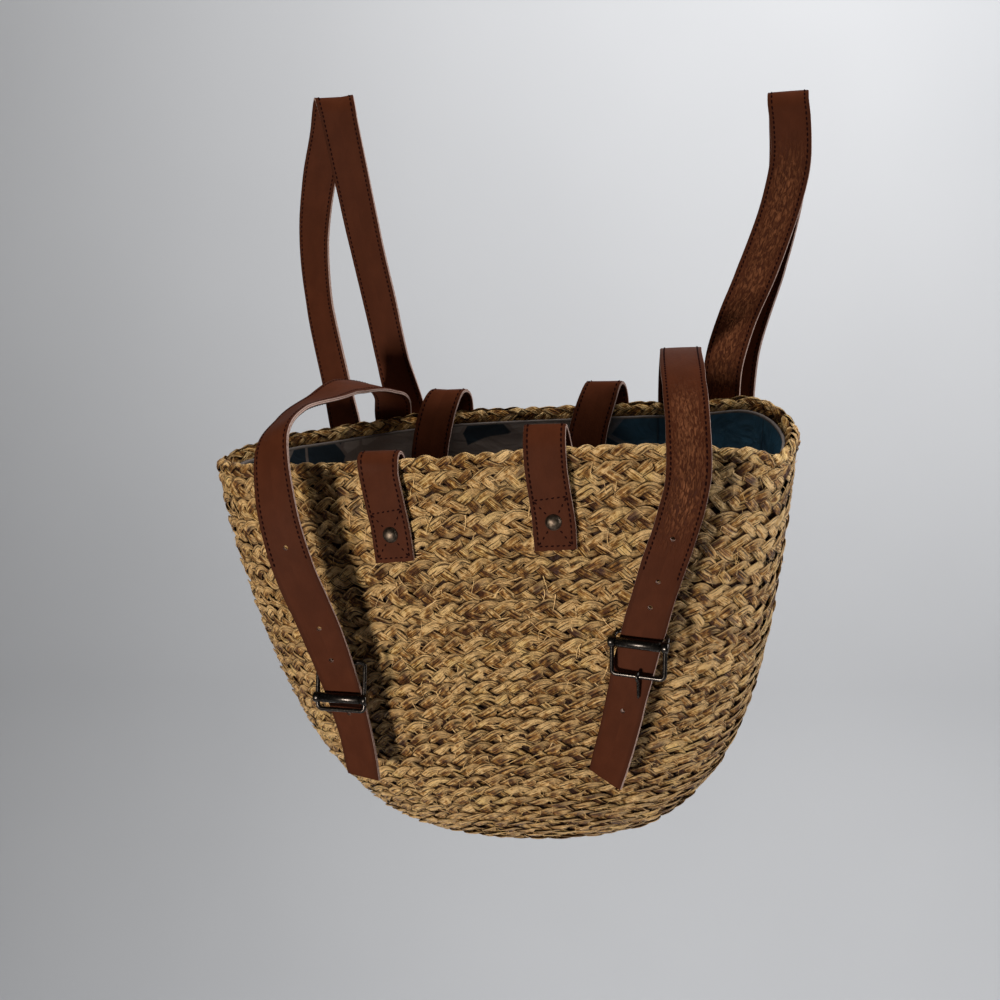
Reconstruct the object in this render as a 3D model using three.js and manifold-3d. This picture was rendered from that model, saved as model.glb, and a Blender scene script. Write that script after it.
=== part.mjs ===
// Straw tote-backpack with an insulated lining, leather straps and roller buckles.
// Millimetres, +Z up. The front faces -Y. The origin is where the shoulder straps hang,
// midway between the undersides of their two tops.

import * as THREE from 'three';
import { mergeVertices } from 'three/addons/utils/BufferGeometryUtils.js';
import Module from 'manifold-3d';

const wasm = await Module();
wasm.setup();

// Places

// The middle of the rim, where the bag's own frame sits, seen from the hanging point.
const RIM_CENTRE = new THREE.Vector3(-29, -104, -204);

// Straw body

const STRAW_WALL = 7;
const BASKET_TOP = -12.3;
const RIM_HALF_HEIGHT = 6.2;
const RIM_HALF_THICKNESS = 5;
const RIM_SIDES = 8;
const AROUND = 64;
const RINGS_PER_SECTION = 2;

// Lining

const LINING_TOP = -16;
const LINING_WALL = 2.2;

// Straps

const STRAP_WIDTH = 25.5;
const STRAP_THICKNESS = 2.8;
const SHOULDER_WIDTH = 26;
const STEPS_PER_ROW = 4;
const SEAT_GAP = 0.4;
const HOLE_RADIUS = 2.2;
const HOLE_SIDES = 10;

// Rivets and buckles

const RIVET_RADIUS = 4.8;
const RIVET_HEIGHT = 2.8;
const RIVET_EDGE = 0.7;
const RIVET_SIDES = 20;
const ROD_RADIUS = 1.4;
const ROLLER_RADIUS = 3.1;
const SHOULDER_RADIUS = 3.3;
const SHOULDER_LENGTH = 4.5;
const ROD_SIDES = 10;
const PRONG_RADIUS = 0.9;
const PRONG_LENGTH = 12;
const PRONG_DIP = 1.2;
const LOOP_SIDES = 16;
const SIDE_CLEARANCE = 1.9;

// A short table: each row becomes an object with the columns' names.
function table(columns, rows) {
  return rows.map((row) => Object.fromEntries(columns.map((name, k) => [name, row[k]])));
}

// Sections of the straw body from the rim down: height, reach to each side, and how square
// its left and right ends are (2 is an ellipse, more is boxier).
const SECTIONS = table(['z', 'left', 'right', 'front', 'back', 'squareLeft', 'squareRight'], [
  [0, -196, 186, -72, 76, 2.0, 2.9],
  [-40, -191, 181, -79, 76, 2.2, 2.9],
  [-90, -181, 173, -83, 75, 2.3, 2.8],
  [-140, -167, 163, -84, 73, 2.4, 2.8],
  [-190, -147, 147, -81, 69, 2.4, 2.7],
  [-225, -126, 128, -73, 62, 2.3, 2.6],
  [-252, -100, 102, -58, 49, 2.2, 2.5],
  [-266, -70, 74, -40, 34, 2.1, 2.3],
  [-271, -46, 50, -25, 21, 2.0, 2.0],
]);

// The rim isn't level: its rise at angles round the mouth, from the right end by way of the back.
const RIM_WAVE = table(['angle', 'rise'], [
  [0, -3], [40, 9], [65, 4], [100, 2], [140, -4], [165, -8], [180, -10],
  [205, -6], [230, -2], [255, 3], [280, 8], [300, 8], [320, 1], [340, -8], [360, -3],
]);
const WAVE_FADES_FROM = -15;
const WAVE_FADES_TO = -105;

// Straw body: outline, wave and wall

function catmullRom(a, b, c, d, t) {
  return b + 0.5 * t * (c - a + t * (2 * a - 5 * b + 4 * c - d + t * (3 * (b - c) + d - a)));
}

// The section at a place between rows, 0 at the first row.
function sectionAt(place) {
  const k = Math.min(Math.floor(place), SECTIONS.length - 2);
  const rows = [k - 1, k, k + 1, k + 2].map((i) => SECTIONS[THREE.MathUtils.clamp(i, 0, SECTIONS.length - 1)]);
  const blend = (key) => catmullRom(...rows.map((row) => row[key]), place - k);
  return Object.fromEntries(Object.keys(SECTIONS[0]).map((key) => [key, blend(key)]));
}

// The place between rows whose section lies at a height.
function placeAt(z) {
  let [low, high] = [0, SECTIONS.length - 1];
  for (let k = 0; k < 40; k += 1) {
    const middle = (low + high) / 2;
    if (sectionAt(middle).z > z) low = middle;
    else high = middle;
  }
  return low;
}

function rimRise(angle) {
  const degrees = THREE.MathUtils.euclideanModulo(THREE.MathUtils.radToDeg(angle), 360);
  const k = Math.max(RIM_WAVE.findIndex((row) => row.angle > degrees), 1);
  const [before, after] = [RIM_WAVE[k - 1], RIM_WAVE[k]];
  const t = THREE.MathUtils.smoothstep(degrees, before.angle, after.angle);
  return THREE.MathUtils.lerp(before.rise, after.rise, t);
}

// The wave at a height: full at the rim, gone lower down.
function waveAt(angle, z) {
  const fade = (z - WAVE_FADES_TO) / (WAVE_FADES_FROM - WAVE_FADES_TO);
  return rimRise(angle) * THREE.MathUtils.clamp(fade, 0, 1);
}

function outlinePoint(section, angle) {
  const [c, s] = [Math.cos(angle), Math.sin(angle)];
  const power = 2 / (c < 0 ? section.squareLeft : section.squareRight);
  const x = Math.abs(c) ** power * (c < 0 ? section.left : section.right);
  const y = Math.abs(s) ** power * (s < 0 ? section.front : section.back);
  return new THREE.Vector3(x, y, section.z + waveAt(angle, section.z));
}

// A section moved inward by a distance, square to the wall's own slope. Its height rises by the
// mean of what its four sides ask for.
function insetSection(place, distance) {
  const step = 0.05;
  const here = sectionAt(place);
  const above = sectionAt(Math.max(place - step, 0));
  const below = sectionAt(Math.min(place + step, SECTIONS.length - 1));
  const drop = above.z - below.z;
  const inset = { ...here };
  for (const side of ['left', 'right', 'front', 'back']) {
    const narrowing = Math.abs(above[side]) - Math.abs(below[side]);
    const length = Math.hypot(drop, narrowing);
    inset[side] -= Math.sign(here[side]) * distance * drop / length;
    inset.z += distance * Math.max(narrowing, 0) / length / 4;
  }
  return inset;
}

function ringAt(section) {
  const angles = Array.from({ length: AROUND }, (_, k) => (2 * Math.PI * k) / AROUND);
  return angles.map((angle) => outlinePoint(section, angle));
}

// Geometry from rings of points: each ring is joined to the next, and the ends are closed by fans.
function skin(rings, middles) {
  const count = rings[0].length;
  const points = rings.flat();
  const faces = [];
  for (let r = 0; r < rings.length - 1; r += 1) {
    for (let k = 0; k < count; k += 1) {
      const next = (k + 1) % count;
      const [a, b] = [r * count + k, r * count + next];
      faces.push(a, b, b + count, a, b + count, a + count);
    }
  }
  const first = points.length;
  points.push(middles[0], middles[1]);
  const last = (rings.length - 1) * count;
  for (let k = 0; k < count; k += 1) {
    const next = (k + 1) % count;
    faces.push(first, next, k, first + 1, last + k, last + next);
  }
  return geometryFrom(points, faces);
}

function geometryFrom(points, faces) {
  const geometry = new THREE.BufferGeometry();
  geometry.setFromPoints(points);
  geometry.setIndex(faces);
  geometry.computeVertexNormals();
  return geometry;
}

function middleOf(points) {
  const sum = points.reduce((total, point) => total.add(point), new THREE.Vector3());
  return sum.divideScalar(points.length);
}

// A tub between two insets of the straw body's outer surface, open at the top.
function tub(top, outerInset, innerInset) {
  const start = placeAt(top);
  const count = (SECTIONS.length - 1) * RINGS_PER_SECTION;
  const places = Array.from({ length: count + 1 }, (_, k) => {
    return THREE.MathUtils.lerp(start, SECTIONS.length - 1, k / count);
  });
  const outer = places.map((place) => ringAt(insetSection(place, outerInset)));
  const inner = places.map((place) => ringAt(insetSection(place, innerInset)));
  const rings = [...outer.reverse(), ...inner];
  return skin(rings, [middleOf(rings[0]), middleOf(rings[rings.length - 1])]);
}

// The rim's braid: an oval bead that follows the wavy top edge.
function rimBraid() {
  const edge = ringAt(insetSection(placeAt(-RIM_HALF_HEIGHT), STRAW_WALL / 2));
  const beads = edge.map((point, k) => {
    const before = edge[(k + AROUND - 1) % AROUND];
    const after = edge[(k + 1) % AROUND];
    const along = after.clone().sub(before).setZ(0).normalize();
    const outward = new THREE.Vector3(along.y, -along.x, 0);
    return Array.from({ length: RIM_SIDES }, (_, side) => {
      const turn = (2 * Math.PI * (side + 0.5)) / RIM_SIDES;
      const corner = point.clone().addScaledVector(outward, RIM_HALF_THICKNESS * Math.cos(turn));
      corner.z += RIM_HALF_HEIGHT * Math.sin(turn);
      return corner;
    });
  });
  const faces = [];
  for (let k = 0; k < AROUND; k += 1) {
    const nextBead = ((k + 1) % AROUND) * RIM_SIDES;
    for (let side = 0; side < RIM_SIDES; side += 1) {
      const nextSide = (side + 1) % RIM_SIDES;
      const [a, b] = [k * RIM_SIDES + side, k * RIM_SIDES + nextSide];
      const [c, d] = [nextBead + side, nextBead + nextSide];
      faces.push(a, c, d, a, d, b);
    }
  }
  return geometryFrom(beads.flat(), faces);
}

// Straps: routes and ribbons

// A route row on the front or back wall, lifted off it, with the strap's face square to the wall.
// face is where the strap's outer side looks: 0 front, 90 up, 180 back. swing turns it toward +X.
function onWall(side, x, z, lift, face) {
  const level = sectionAt(placeAt(z));
  const square = x < 0 ? level.squareLeft : level.squareRight;
  const reach = x / Math.abs(x < 0 ? level.left : level.right);
  const cosine = Math.sign(x) * Math.abs(reach) ** (square / 2);
  const angle = Math.acos(cosine) * (side === 'front' ? -1 : 1);
  const section = sectionAt(placeAt(z - waveAt(angle, z)));
  const depth = side === 'front' ? section.front : section.back;
  const room = (1 - Math.abs(reach) ** square) ** (1 / square);
  const slope = Math.abs(depth) * room ** (1 - square) * Math.abs(reach) ** square / Math.abs(x);
  const swing = THREE.MathUtils.radToDeg(Math.atan(slope)) * Math.sign(x);
  const outward = (side === 'front') === (face === 0) ? 1 : -1;
  return [x, depth * room + Math.sign(depth) * lift, z, face, outward * swing];
}

const ON_STRAW = SEAT_GAP + STRAP_THICKNESS / 2;
const ON_RIM = ON_STRAW + RIM_HALF_THICKNESS - STRAW_WALL / 2;
const ON_STRAP = SEAT_GAP + STRAP_THICKNESS;
const ON_LOWER_WALL = ON_STRAW + 1.6;
const ROUTE = ['x', 'y', 'z', 'face', 'swing'];

const CLOSING_RIGHT = table(ROUTE, [
  onWall('back', 103, -45, ON_STRAW, 180),
  onWall('back', 103.5, -18, ON_RIM, 180),
  onWall('back', 104.5, -1, ON_RIM + 0.6, 180),
  [106, 71, 17, 160, 0],
  [109, 57, 34, 130, 0],
  [113, 28, 45, 105, 0],
  [117, -14, 49, 90, 0],
  [122, -56, 42, 60, 0],
  [126, -86, 22, 25, 0],
  [126, -98, -6, 5, 0],
  [119, -98, -32, 0, 0],
  [108, -96, -62, 0, 0],
  [97, -94, -95, 0, -6],
  [87, -92, -128, 0, -16],
  [78, -90, -162, 0, -24],
  [67, -88, -197, 0, -33],
]);

const CLOSING_LEFT = table(ROUTE, [
  onWall('back', -92, -45, ON_STRAW, 180),
  onWall('back', -92.5, -18, ON_RIM, 180),
  onWall('back', -93.5, -1, ON_RIM + 0.6, 180),
  [-92, 67, 12, 155, 6],
  [-95, 52, 22, 124, 18],
  [-106, 18, 31, 95, 18],
  [-111, -16, 31, 75, -2],
  [-118, -61, 30, 52, -24],
  [-120, -91, 21, 22, -23],
  [-117, -106, -12, 6, -5],
  [-110, -110, -50, 0, 6],
  [-98, -107, -93, 0, 4],
  [-90, -101, -135, 0, -10],
  [-86, -97, -168, 0, -18],
  [-85, -94, -196, 0, -22],
]);

const SHOULDER_LEFT = table(ROUTE, [
  onWall('back', -83, -48, ON_STRAW + ON_STRAP, 0),
  onWall('back', -84, -18, ON_RIM + ON_STRAP + 0.6, 0),
  onWall('back', -85, 0, ON_RIM + ON_STRAP + 2, 0),
  [-93, 82, 34, 0, -12],
  [-100, 87, 75, 0, -14],
  [-107, 91, 115, 0, -12],
  [-113, 94, 156, 0, -6],
  [-119, 97, 198, 0, 0],
  [-121, 99, 210, 30, 0],
  [-124, 104, 215, 90, 0],
  [-128, 109, 209, 150, 0],
  [-133, 112, 194, 180, 0],
  [-146, 117, 158, 180, 10],
  [-155, 121, 120, 180, 20],
  [-157, 123, 72, 180, 25],
  [-149, 119, 12, 180, 20],
  [-136, 106, -60, 180, 0],
  [-118, 84, -125, 180, -14],
  onWall('back', -102, -162, ON_LOWER_WALL, 180),
  onWall('back', -94, -192, ON_LOWER_WALL, 180),
]);

const SHOULDER_RIGHT = table(ROUTE, [
  onWall('back', 134, -48, ON_STRAW, 0),
  onWall('back', 134, -18, ON_RIM, 0),
  onWall('back', 134.5, 0, ON_RIM + 0.6, 0),
  [137, 70, 27, 0, -16],
  [146, 77, 55, 0, -16],
  [157, 83, 79, 0, -14],
  [168, 88, 105, 0, -12],
  [177, 92, 130, 0, -10],
  [183, 95, 156, 0, -6],
  [183, 97, 180, 0, 0],
  [182, 99, 191, 30, 0],
  [182, 104, 196, 90, 0],
  [182, 109, 191, 150, 0],
  [182, 112, 178, 180, 5],
  [180, 116, 140, 180, 20],
  [168, 119, 88, 180, 35],
  [148, 118, 28, 180, 35],
  [139, 108, -40, 180, 25],
  [125, 88, -112, 180, 18],
  onWall('back', 106, -162, ON_LOWER_WALL, 180),
  onWall('back', 98, -192, ON_LOWER_WALL, 180),
]);

const HANDLE_FRONT = table(ROUTE, [
  onWall('front', -55, -59, ON_STRAW, 0),
  onWall('front', -56.5, -40, ON_STRAW, 0),
  onWall('front', -60, -18, ON_RIM, 0),
  onWall('front', -62, -6, ON_RIM + 0.6, 0),
  [-62.5, -71.5, 3, 40, 0],
  [-62.5, -65.5, 5.4, 90, 0],
  [-62.5, -58, 2, 150, 0],
  [-62, -55.5, -10, 180, 0],
  [-60, -53, -34, 180, 0],
  [-55, -53, -74, 180, 0],
  [-39, -53, -107, 180, 0],
  [-5, -53, -121, 180, 0],
  [28, -53, -107, 180, 0],
  [43, -53, -74, 180, 0],
  [44, -53, -34, 180, 0],
  [42, -55.5, -2, 180, 0],
  [41, -60, 13, 150, 0],
  [41, -68, 20, 90, 0],
  [41, -74.5, 12, 30, 0],
  onWall('front', 41.5, -4, ON_RIM + 0.6, 0),
  onWall('front', 43, -18, ON_RIM, 0),
  onWall('front', 44.5, -34, ON_STRAW, 0),
  onWall('front', 45, -52, ON_STRAW, 0),
]);

const HANDLE_BACK = table(ROUTE, [
  onWall('back', -50, -58, ON_STRAW, 180),
  onWall('back', -50, -40, ON_STRAW, 180),
  onWall('back', -50, -18, ON_RIM, 180),
  onWall('back', -50, -3, ON_RIM + 0.6, 180),
  [-50, 77, 10, 140, 0],
  [-52, 70, 15, 90, 0],
  [-56, 60, 8, 40, 0],
  [-62, 50, -16, 10, 0],
  [-65, 46, -48, 0, 0],
  [-60, 45, -84, 0, 0],
  [-43, 45, -112, 0, 0],
  [-11, 45, -126, 0, 0],
  [23, 45, -112, 0, 0],
  [39, 45, -84, 0, 0],
  [44, 46, -48, 0, 0],
  [46, 50, -16, 10, 0],
  [53, 60, 8, 40, 0],
  [57, 70, 17, 90, 0],
  [58.5, 76.5, 11, 140, 0],
  onWall('back', 59, -3, ON_RIM + 0.6, 180),
  onWall('back', 59, -18, ON_RIM, 180),
  onWall('back', 59, -40, ON_STRAW, 180),
  onWall('back', 59, -58, ON_STRAW, 180),
]);

class Strap {
  constructor(rows, width) {
    this.rows = rows;
    this.width = width;
    this.curve = new THREE.CatmullRomCurve3(rows.map((row) => new THREE.Vector3(row.x, row.y, row.z)));
    this.curve.arcLengthDivisions = 600;
  }

  // The frame at a place along the route: across the strap, back along it, and out of its outer side.
  frame(place) {
    const at = place * (this.rows.length - 1);
    const k = Math.min(Math.floor(at), this.rows.length - 2);
    const blend = (key) => THREE.MathUtils.lerp(this.rows[k][key], this.rows[k + 1][key], at - k);
    const face = THREE.MathUtils.degToRad(blend('face'));
    const swing = THREE.MathUtils.degToRad(blend('swing'));
    const looks = new THREE.Vector3(
      Math.sin(swing),
      -Math.cos(face) * Math.cos(swing),
      Math.sin(face) * Math.cos(swing),
    );
    const tangent = this.curve.getTangent(place);
    const out = looks.addScaledVector(tangent, -looks.dot(tangent)).normalize();
    const across = out.clone().cross(tangent);
    const basis = new THREE.Matrix4().makeBasis(across, tangent.clone().negate(), out);
    return { origin: this.curve.getPoint(place), across, out, basis };
  }

  frameAtDistance(distance) {
    return this.frame(this.curve.getUtoTmapping(distance / this.curve.getLength()));
  }

  // A flat ribbon along the route, as thick as the leather.
  geometry() {
    const steps = (this.rows.length - 1) * STEPS_PER_ROW;
    const rings = Array.from({ length: steps + 1 }, (_, k) => {
      const { origin, across, out } = this.frame(k / steps);
      return [[1, 1], [-1, 1], [-1, -1], [1, -1]].map(([u, n]) => {
        const corner = origin.clone().addScaledVector(across, (u * this.width) / 2);
        return corner.addScaledVector(out, (n * STRAP_THICKNESS) / 2);
      });
    });
    return skin(rings, [middleOf(rings[0]), middleOf(rings[steps])]);
  }
}

// Joining and cutting

function solidFrom(geometry) {
  const plain = geometry.clone();
  plain.deleteAttribute('normal');
  plain.deleteAttribute('uv');
  const merged = mergeVertices(plain, 1e-4);
  const vertProperties = new Float32Array(merged.attributes.position.array);
  const triVerts = new Uint32Array(merged.index.array);
  return new wasm.Manifold(new wasm.Mesh({ numProp: 3, vertProperties, triVerts }));
}

function geometryOf(solid) {
  const { vertProperties, triVerts } = solid.getMesh();
  const geometry = new THREE.BufferGeometry();
  geometry.setAttribute('position', new THREE.BufferAttribute(vertProperties, 3));
  geometry.setIndex(new THREE.BufferAttribute(triVerts, 1));
  geometry.computeVertexNormals();
  return geometry;
}

function join(geometries) {
  return geometryOf(geometries.map(solidFrom).reduce((whole, piece) => whole.add(piece)));
}

// A round rod between two points.
function rod(from, to, radius) {
  const along = to.clone().sub(from);
  const geometry = new THREE.CylinderGeometry(radius, radius, along.length(), ROD_SIDES);
  const up = new THREE.Vector3(0, 1, 0);
  geometry.applyQuaternion(new THREE.Quaternion().setFromUnitVectors(up, along.normalize()));
  return geometry.translate(...from.clone().add(to).multiplyScalar(0.5).toArray());
}

function ball(centre, radius) {
  return new THREE.SphereGeometry(radius, ROD_SIDES, ROD_SIDES / 2).translate(...centre.toArray());
}

// Buckles

const SIDE_ROD_X = STRAP_WIDTH / 2 + SIDE_CLEARANCE + ROD_RADIUS;
const HALF_STRAP = STRAP_THICKNESS / 2;
// The straps twist a little across a buckle, so its bars behind them stand off by this much more.
const TWIST_ROOM = 0.5;
const BEHIND = -(HALF_STRAP + SEAT_GAP + TWIST_ROOM + ROD_RADIUS);
const ROLLER_OUT = HALF_STRAP + SEAT_GAP + ROLLER_RADIUS;

// Where each bar lies in the buckle's own frame, y back along the strap and z out of it.
const BUCKLES = {
  right: { end: [3.6, BEHIND], roller: [0, ROLLER_OUT], far: [-20, ROLLER_OUT + 0.7] },
  left: { end: [-6.7, ROLLER_OUT + 2.4], roller: [0, ROLLER_OUT], far: [20, BEHIND - 1.7] },
};

function barEnds([y, z]) {
  return [-1, 1].map((side) => new THREE.Vector3(side * SIDE_ROD_X, y, z));
}

function buckleFrame({ end, roller, far }) {
  const [ends, rollers, fars] = [end, roller, far].map(barEnds);
  const inward = new THREE.Vector3(SHOULDER_LENGTH / 2, 0, 0);
  const pieces = [rod(...ends, ROD_RADIUS), rod(...rollers, ROLLER_RADIUS), rod(...fars, ROD_RADIUS)];
  for (const side of [0, 1]) {
    const [e, r, f] = [ends[side], rollers[side], fars[side]];
    pieces.push(rod(e, r, ROD_RADIUS), rod(r, f, ROD_RADIUS), ball(e, ROD_RADIUS), ball(f, ROD_RADIUS));
    pieces.push(rod(r.clone().sub(inward), r.clone().add(inward), SHOULDER_RADIUS));
  }
  return join(pieces);
}

// A loop round the far bar with a pin that points away from the roller.
function prong({ roller, far }) {
  const away = Math.sign(far[0] - roller[0]);
  const loop = ROD_RADIUS + SEAT_GAP + PRONG_RADIUS;
  const ring = new THREE.TorusGeometry(loop, PRONG_RADIUS, ROD_SIDES, LOOP_SIDES).rotateY(Math.PI / 2);
  ring.translate(0, ...far);
  const root = new THREE.Vector3(0, far[0] + away * loop, far[1]);
  const tip = root.clone().add(new THREE.Vector3(0, away * PRONG_LENGTH, -Math.sign(far[1]) * PRONG_DIP));
  return join([ring, rod(root, tip, PRONG_RADIUS), ball(tip, PRONG_RADIUS)]);
}

// Rivet: a low dome on a flat back, turned to look out of its tab.
function rivet() {
  const dome = [[0, 0], [1, 0], [1, RIVET_EDGE], [0.82, 1.9], [0.45, 2.6], [0, RIVET_HEIGHT]];
  const profile = dome.map(([part, y]) => new THREE.Vector2(part * RIVET_RADIUS, y));
  return new THREE.LatheGeometry(profile, RIVET_SIDES).rotateX(Math.PI / 2);
}

// Materials

const MATERIALS = {
  straw: new THREE.MeshStandardMaterial({ color: 0xb08a4f, roughness: 0.85, metalness: 0 }),
  lining: new THREE.MeshStandardMaterial({ color: 0x2c4a58, roughness: 0.3, metalness: 0 }),
  leather: new THREE.MeshStandardMaterial({ color: 0x5a2c1c, roughness: 0.5, metalness: 0 }),
  metal: new THREE.MeshStandardMaterial({ color: 0x2b2724, roughness: 0.3, metalness: 1 }),
};

const bag = new THREE.Group();
bag.position.copy(RIM_CENTRE);

function addPiece(name, geometry, material) {
  const mesh = new THREE.Mesh(geometry, MATERIALS[material]);
  mesh.name = name;
  bag.add(mesh);
  return mesh;
}

// Puts a piece on a strap's frame, lifted out of the strap.
function seatOn(mesh, { origin, out, basis }, lift) {
  mesh.quaternion.setFromRotationMatrix(basis);
  mesh.position.copy(origin).addScaledVector(out, lift);
  return mesh;
}

addPiece('basket', tub(BASKET_TOP, 0, STRAW_WALL), 'straw');
addPiece('rim_braid', rimBraid(), 'straw');
const LINING_OUTER = STRAW_WALL + SEAT_GAP;
addPiece('lining', tub(LINING_TOP, LINING_OUTER, LINING_OUTER + LINING_WALL), 'lining');

addPiece('shoulder_strap_left', new Strap(SHOULDER_LEFT, SHOULDER_WIDTH).geometry(), 'leather');
addPiece('shoulder_strap_right', new Strap(SHOULDER_RIGHT, SHOULDER_WIDTH).geometry(), 'leather');

const RIVET_FROM_END = 17;
const handles = {
  front: new Strap(HANDLE_FRONT, STRAP_WIDTH),
  back: new Strap(HANDLE_BACK, STRAP_WIDTH),
};
for (const [side, strap] of Object.entries(handles)) {
  addPiece(`handle_${side}`, strap.geometry(), 'leather');
  const places = { left: RIVET_FROM_END, right: strap.curve.getLength() - RIVET_FROM_END };
  for (const [end, distance] of Object.entries(places)) {
    const mesh = addPiece(`rivet_${side}_${end}`, rivet(), 'metal');
    seatOn(mesh, strap.frameAtDistance(distance), HALF_STRAP + SEAT_GAP / 2);
  }
}

// Closing straps: the distance from the free end to the buckle's roller, the buckle's turn
// on the strap in degrees, and the holes' distances past the roller.
const CLOSING = {
  left: { rows: CLOSING_LEFT, rollerFromEnd: 59, turn: -6, holes: [13, -25, -47, -101] },
  right: { rows: CLOSING_RIGHT, rollerFromEnd: 96, turn: 14, holes: [47, -23, -40, -68] },
};

function punchAt({ origin, out }) {
  const punch = new THREE.CylinderGeometry(HOLE_RADIUS, HOLE_RADIUS, 2 * STRAP_THICKNESS, HOLE_SIDES);
  punch.applyQuaternion(new THREE.Quaternion().setFromUnitVectors(THREE.Object3D.DEFAULT_UP, out));
  return punch.translate(...origin.toArray());
}

for (const [side, { rows, rollerFromEnd, turn, holes }] of Object.entries(CLOSING)) {
  const strap = new Strap(rows, STRAP_WIDTH);
  const roller = strap.curve.getLength() - rollerFromEnd;
  const punches = holes.map((distance) => solidFrom(punchAt(strap.frameAtDistance(roller + distance))));
  const punched = punches.reduce((whole, punch) => whole.subtract(punch), solidFrom(strap.geometry()));
  addPiece(`closing_strap_${side}`, geometryOf(punched), 'leather');
  const hardware = { frame: buckleFrame(BUCKLES[side]), prong: prong(BUCKLES[side]) };
  for (const [piece, geometry] of Object.entries(hardware)) {
    const mesh = addPiece(`buckle_${piece}_${side}`, geometry, 'metal');
    seatOn(mesh, strap.frameAtDistance(roller), 0).rotateZ(THREE.MathUtils.degToRad(turn));
  }
}

export default new THREE.Group().add(bag);
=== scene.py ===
"""Plaited straw cooler bag, worn as a backpack, with leather straps and roller buckles.

The file is laid out as an add-on and run as a script. Lengths in the tables are millimetres in the
bag's own frame: its origin is the middle of the rim, +X goes right, +Y to the back wall and +Z up.
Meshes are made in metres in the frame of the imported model.
"""

from math import cos, degrees, pi, radians, sin

import bpy
import numpy as np
from bpy.props import FloatProperty, FloatVectorProperty, IntProperty, PointerProperty
from mathutils import Matrix, Vector


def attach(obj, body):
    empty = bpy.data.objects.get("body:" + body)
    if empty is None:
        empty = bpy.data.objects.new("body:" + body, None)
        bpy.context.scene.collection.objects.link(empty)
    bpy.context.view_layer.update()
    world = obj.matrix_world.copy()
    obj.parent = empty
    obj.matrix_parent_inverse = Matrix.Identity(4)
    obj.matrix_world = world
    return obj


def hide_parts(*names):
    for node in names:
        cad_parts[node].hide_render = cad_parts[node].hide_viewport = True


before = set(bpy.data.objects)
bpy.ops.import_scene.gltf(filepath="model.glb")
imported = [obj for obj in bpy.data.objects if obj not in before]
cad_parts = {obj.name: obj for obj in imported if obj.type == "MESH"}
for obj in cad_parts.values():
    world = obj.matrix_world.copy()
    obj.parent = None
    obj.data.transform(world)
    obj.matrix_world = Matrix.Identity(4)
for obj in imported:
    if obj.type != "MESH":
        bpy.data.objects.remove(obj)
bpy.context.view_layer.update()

bl_info = {
    "name": "Straw Cooler Backpack",
    "version": (1, 0, 0),
    "blender": (4, 5, 0),
    "location": "View3D > Sidebar > Bag",
    "description": "Builds a plaited straw cooler backpack with leather straps on a packed frame",
    "category": "Object",
}

MM = 0.001
TINY = 1e-9
RIM_CENTRE = np.array([-29.0, -104.0, -204.0])

# Straw body, as in the part's source: height, reach to each side, and how square its two ends are.
SECTION_COLUMNS = ("z", "left", "right", "front", "back", "square_left", "square_right")
SECTIONS = np.array([
    (0, -196, 186, -72, 76, 2.0, 2.9),
    (-40, -191, 181, -79, 76, 2.2, 2.9),
    (-90, -181, 173, -83, 75, 2.3, 2.8),
    (-140, -167, 163, -84, 73, 2.4, 2.8),
    (-190, -147, 147, -81, 69, 2.4, 2.7),
    (-225, -126, 128, -73, 62, 2.3, 2.6),
    (-252, -100, 102, -58, 49, 2.2, 2.5),
    (-266, -70, 74, -40, 34, 2.1, 2.3),
    (-271, -46, 50, -25, 21, 2.0, 2.0),
])

# The rim's rise at angles round the mouth, from the right end by way of the back.
RIM_WAVE = np.array([
    (0, -3), (40, 9), (65, 4), (100, 2), (140, -4), (165, -8), (180, -10),
    (205, -6), (230, -2), (255, 3), (280, 8), (300, 8), (320, 1), (340, -8), (360, -3),
])
WAVE_FADES_FROM = -15
WAVE_FADES_TO = -105

STRAW_WALL = 7.0
WALL_STARTS_AT = -9.0
RIM_HALF_HEIGHT = 6.2
RIM_HALF_THICKNESS = 5.0
BASE_CORE = 0.42

# How finely the straw body is read: places down the table, points round a ring, rings and rows.
TABLE_PLACES = 4001
RING_POINTS = 720
RING_ANGLES = 2 * pi * np.arange(RING_POINTS) / RING_POINTS
WALL_RINGS = 240
BASE_RINGS = 30
SKIN_ROWS = 360

# Straps
STRAP_WIDTH = 25.5
SHOULDER_WIDTH = 26.0
STRAP_THICKNESS = 2.8
HALF_STRAP = STRAP_THICKNESS / 2
SEAT_GAP = 0.4
ON_STRAW = SEAT_GAP + HALF_STRAP
ON_RIM = ON_STRAW + RIM_HALF_THICKNESS - STRAW_WALL / 2
ON_STRAP = SEAT_GAP + STRAP_THICKNESS
ON_LOWER_WALL = ON_STRAW + 1.6
STITCH_INSET = 2.6
HOLE_RADIUS = 1.5
HOLE_BAR_HALF = 3

# Rivets and buckles
RIVET_RADIUS = 4.8
RIVET_FROM_END = 17.0
ROD_RADIUS = 1.4
ROLLER_RADIUS = 3.1
PRONG_RADIUS = 0.9
PRONG_LENGTH = 12.0
PRONG_DIP = 1.2
SIDE_ROD_X = STRAP_WIDTH / 2 + 1.9 + ROD_RADIUS
BEHIND = -(HALF_STRAP + SEAT_GAP + 0.5 + ROD_RADIUS)
ROLLER_OUT = HALF_STRAP + SEAT_GAP + ROLLER_RADIUS


# Sums that many shapes share

def unit(vectors):
    """Vectors divided by their lengths."""
    return vectors / np.linalg.norm(vectors, axis=-1, keepdims=True)


def run_along(points):
    """Distances along a line of points, as sums of the steps between them."""
    return np.concatenate([[0], np.cumsum(np.linalg.norm(np.diff(points, axis=0), axis=1))])


def full_turn(count):
    """Even angles round a full turn."""
    return np.linspace(0, 2 * pi, count + 1)[:-1]


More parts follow.
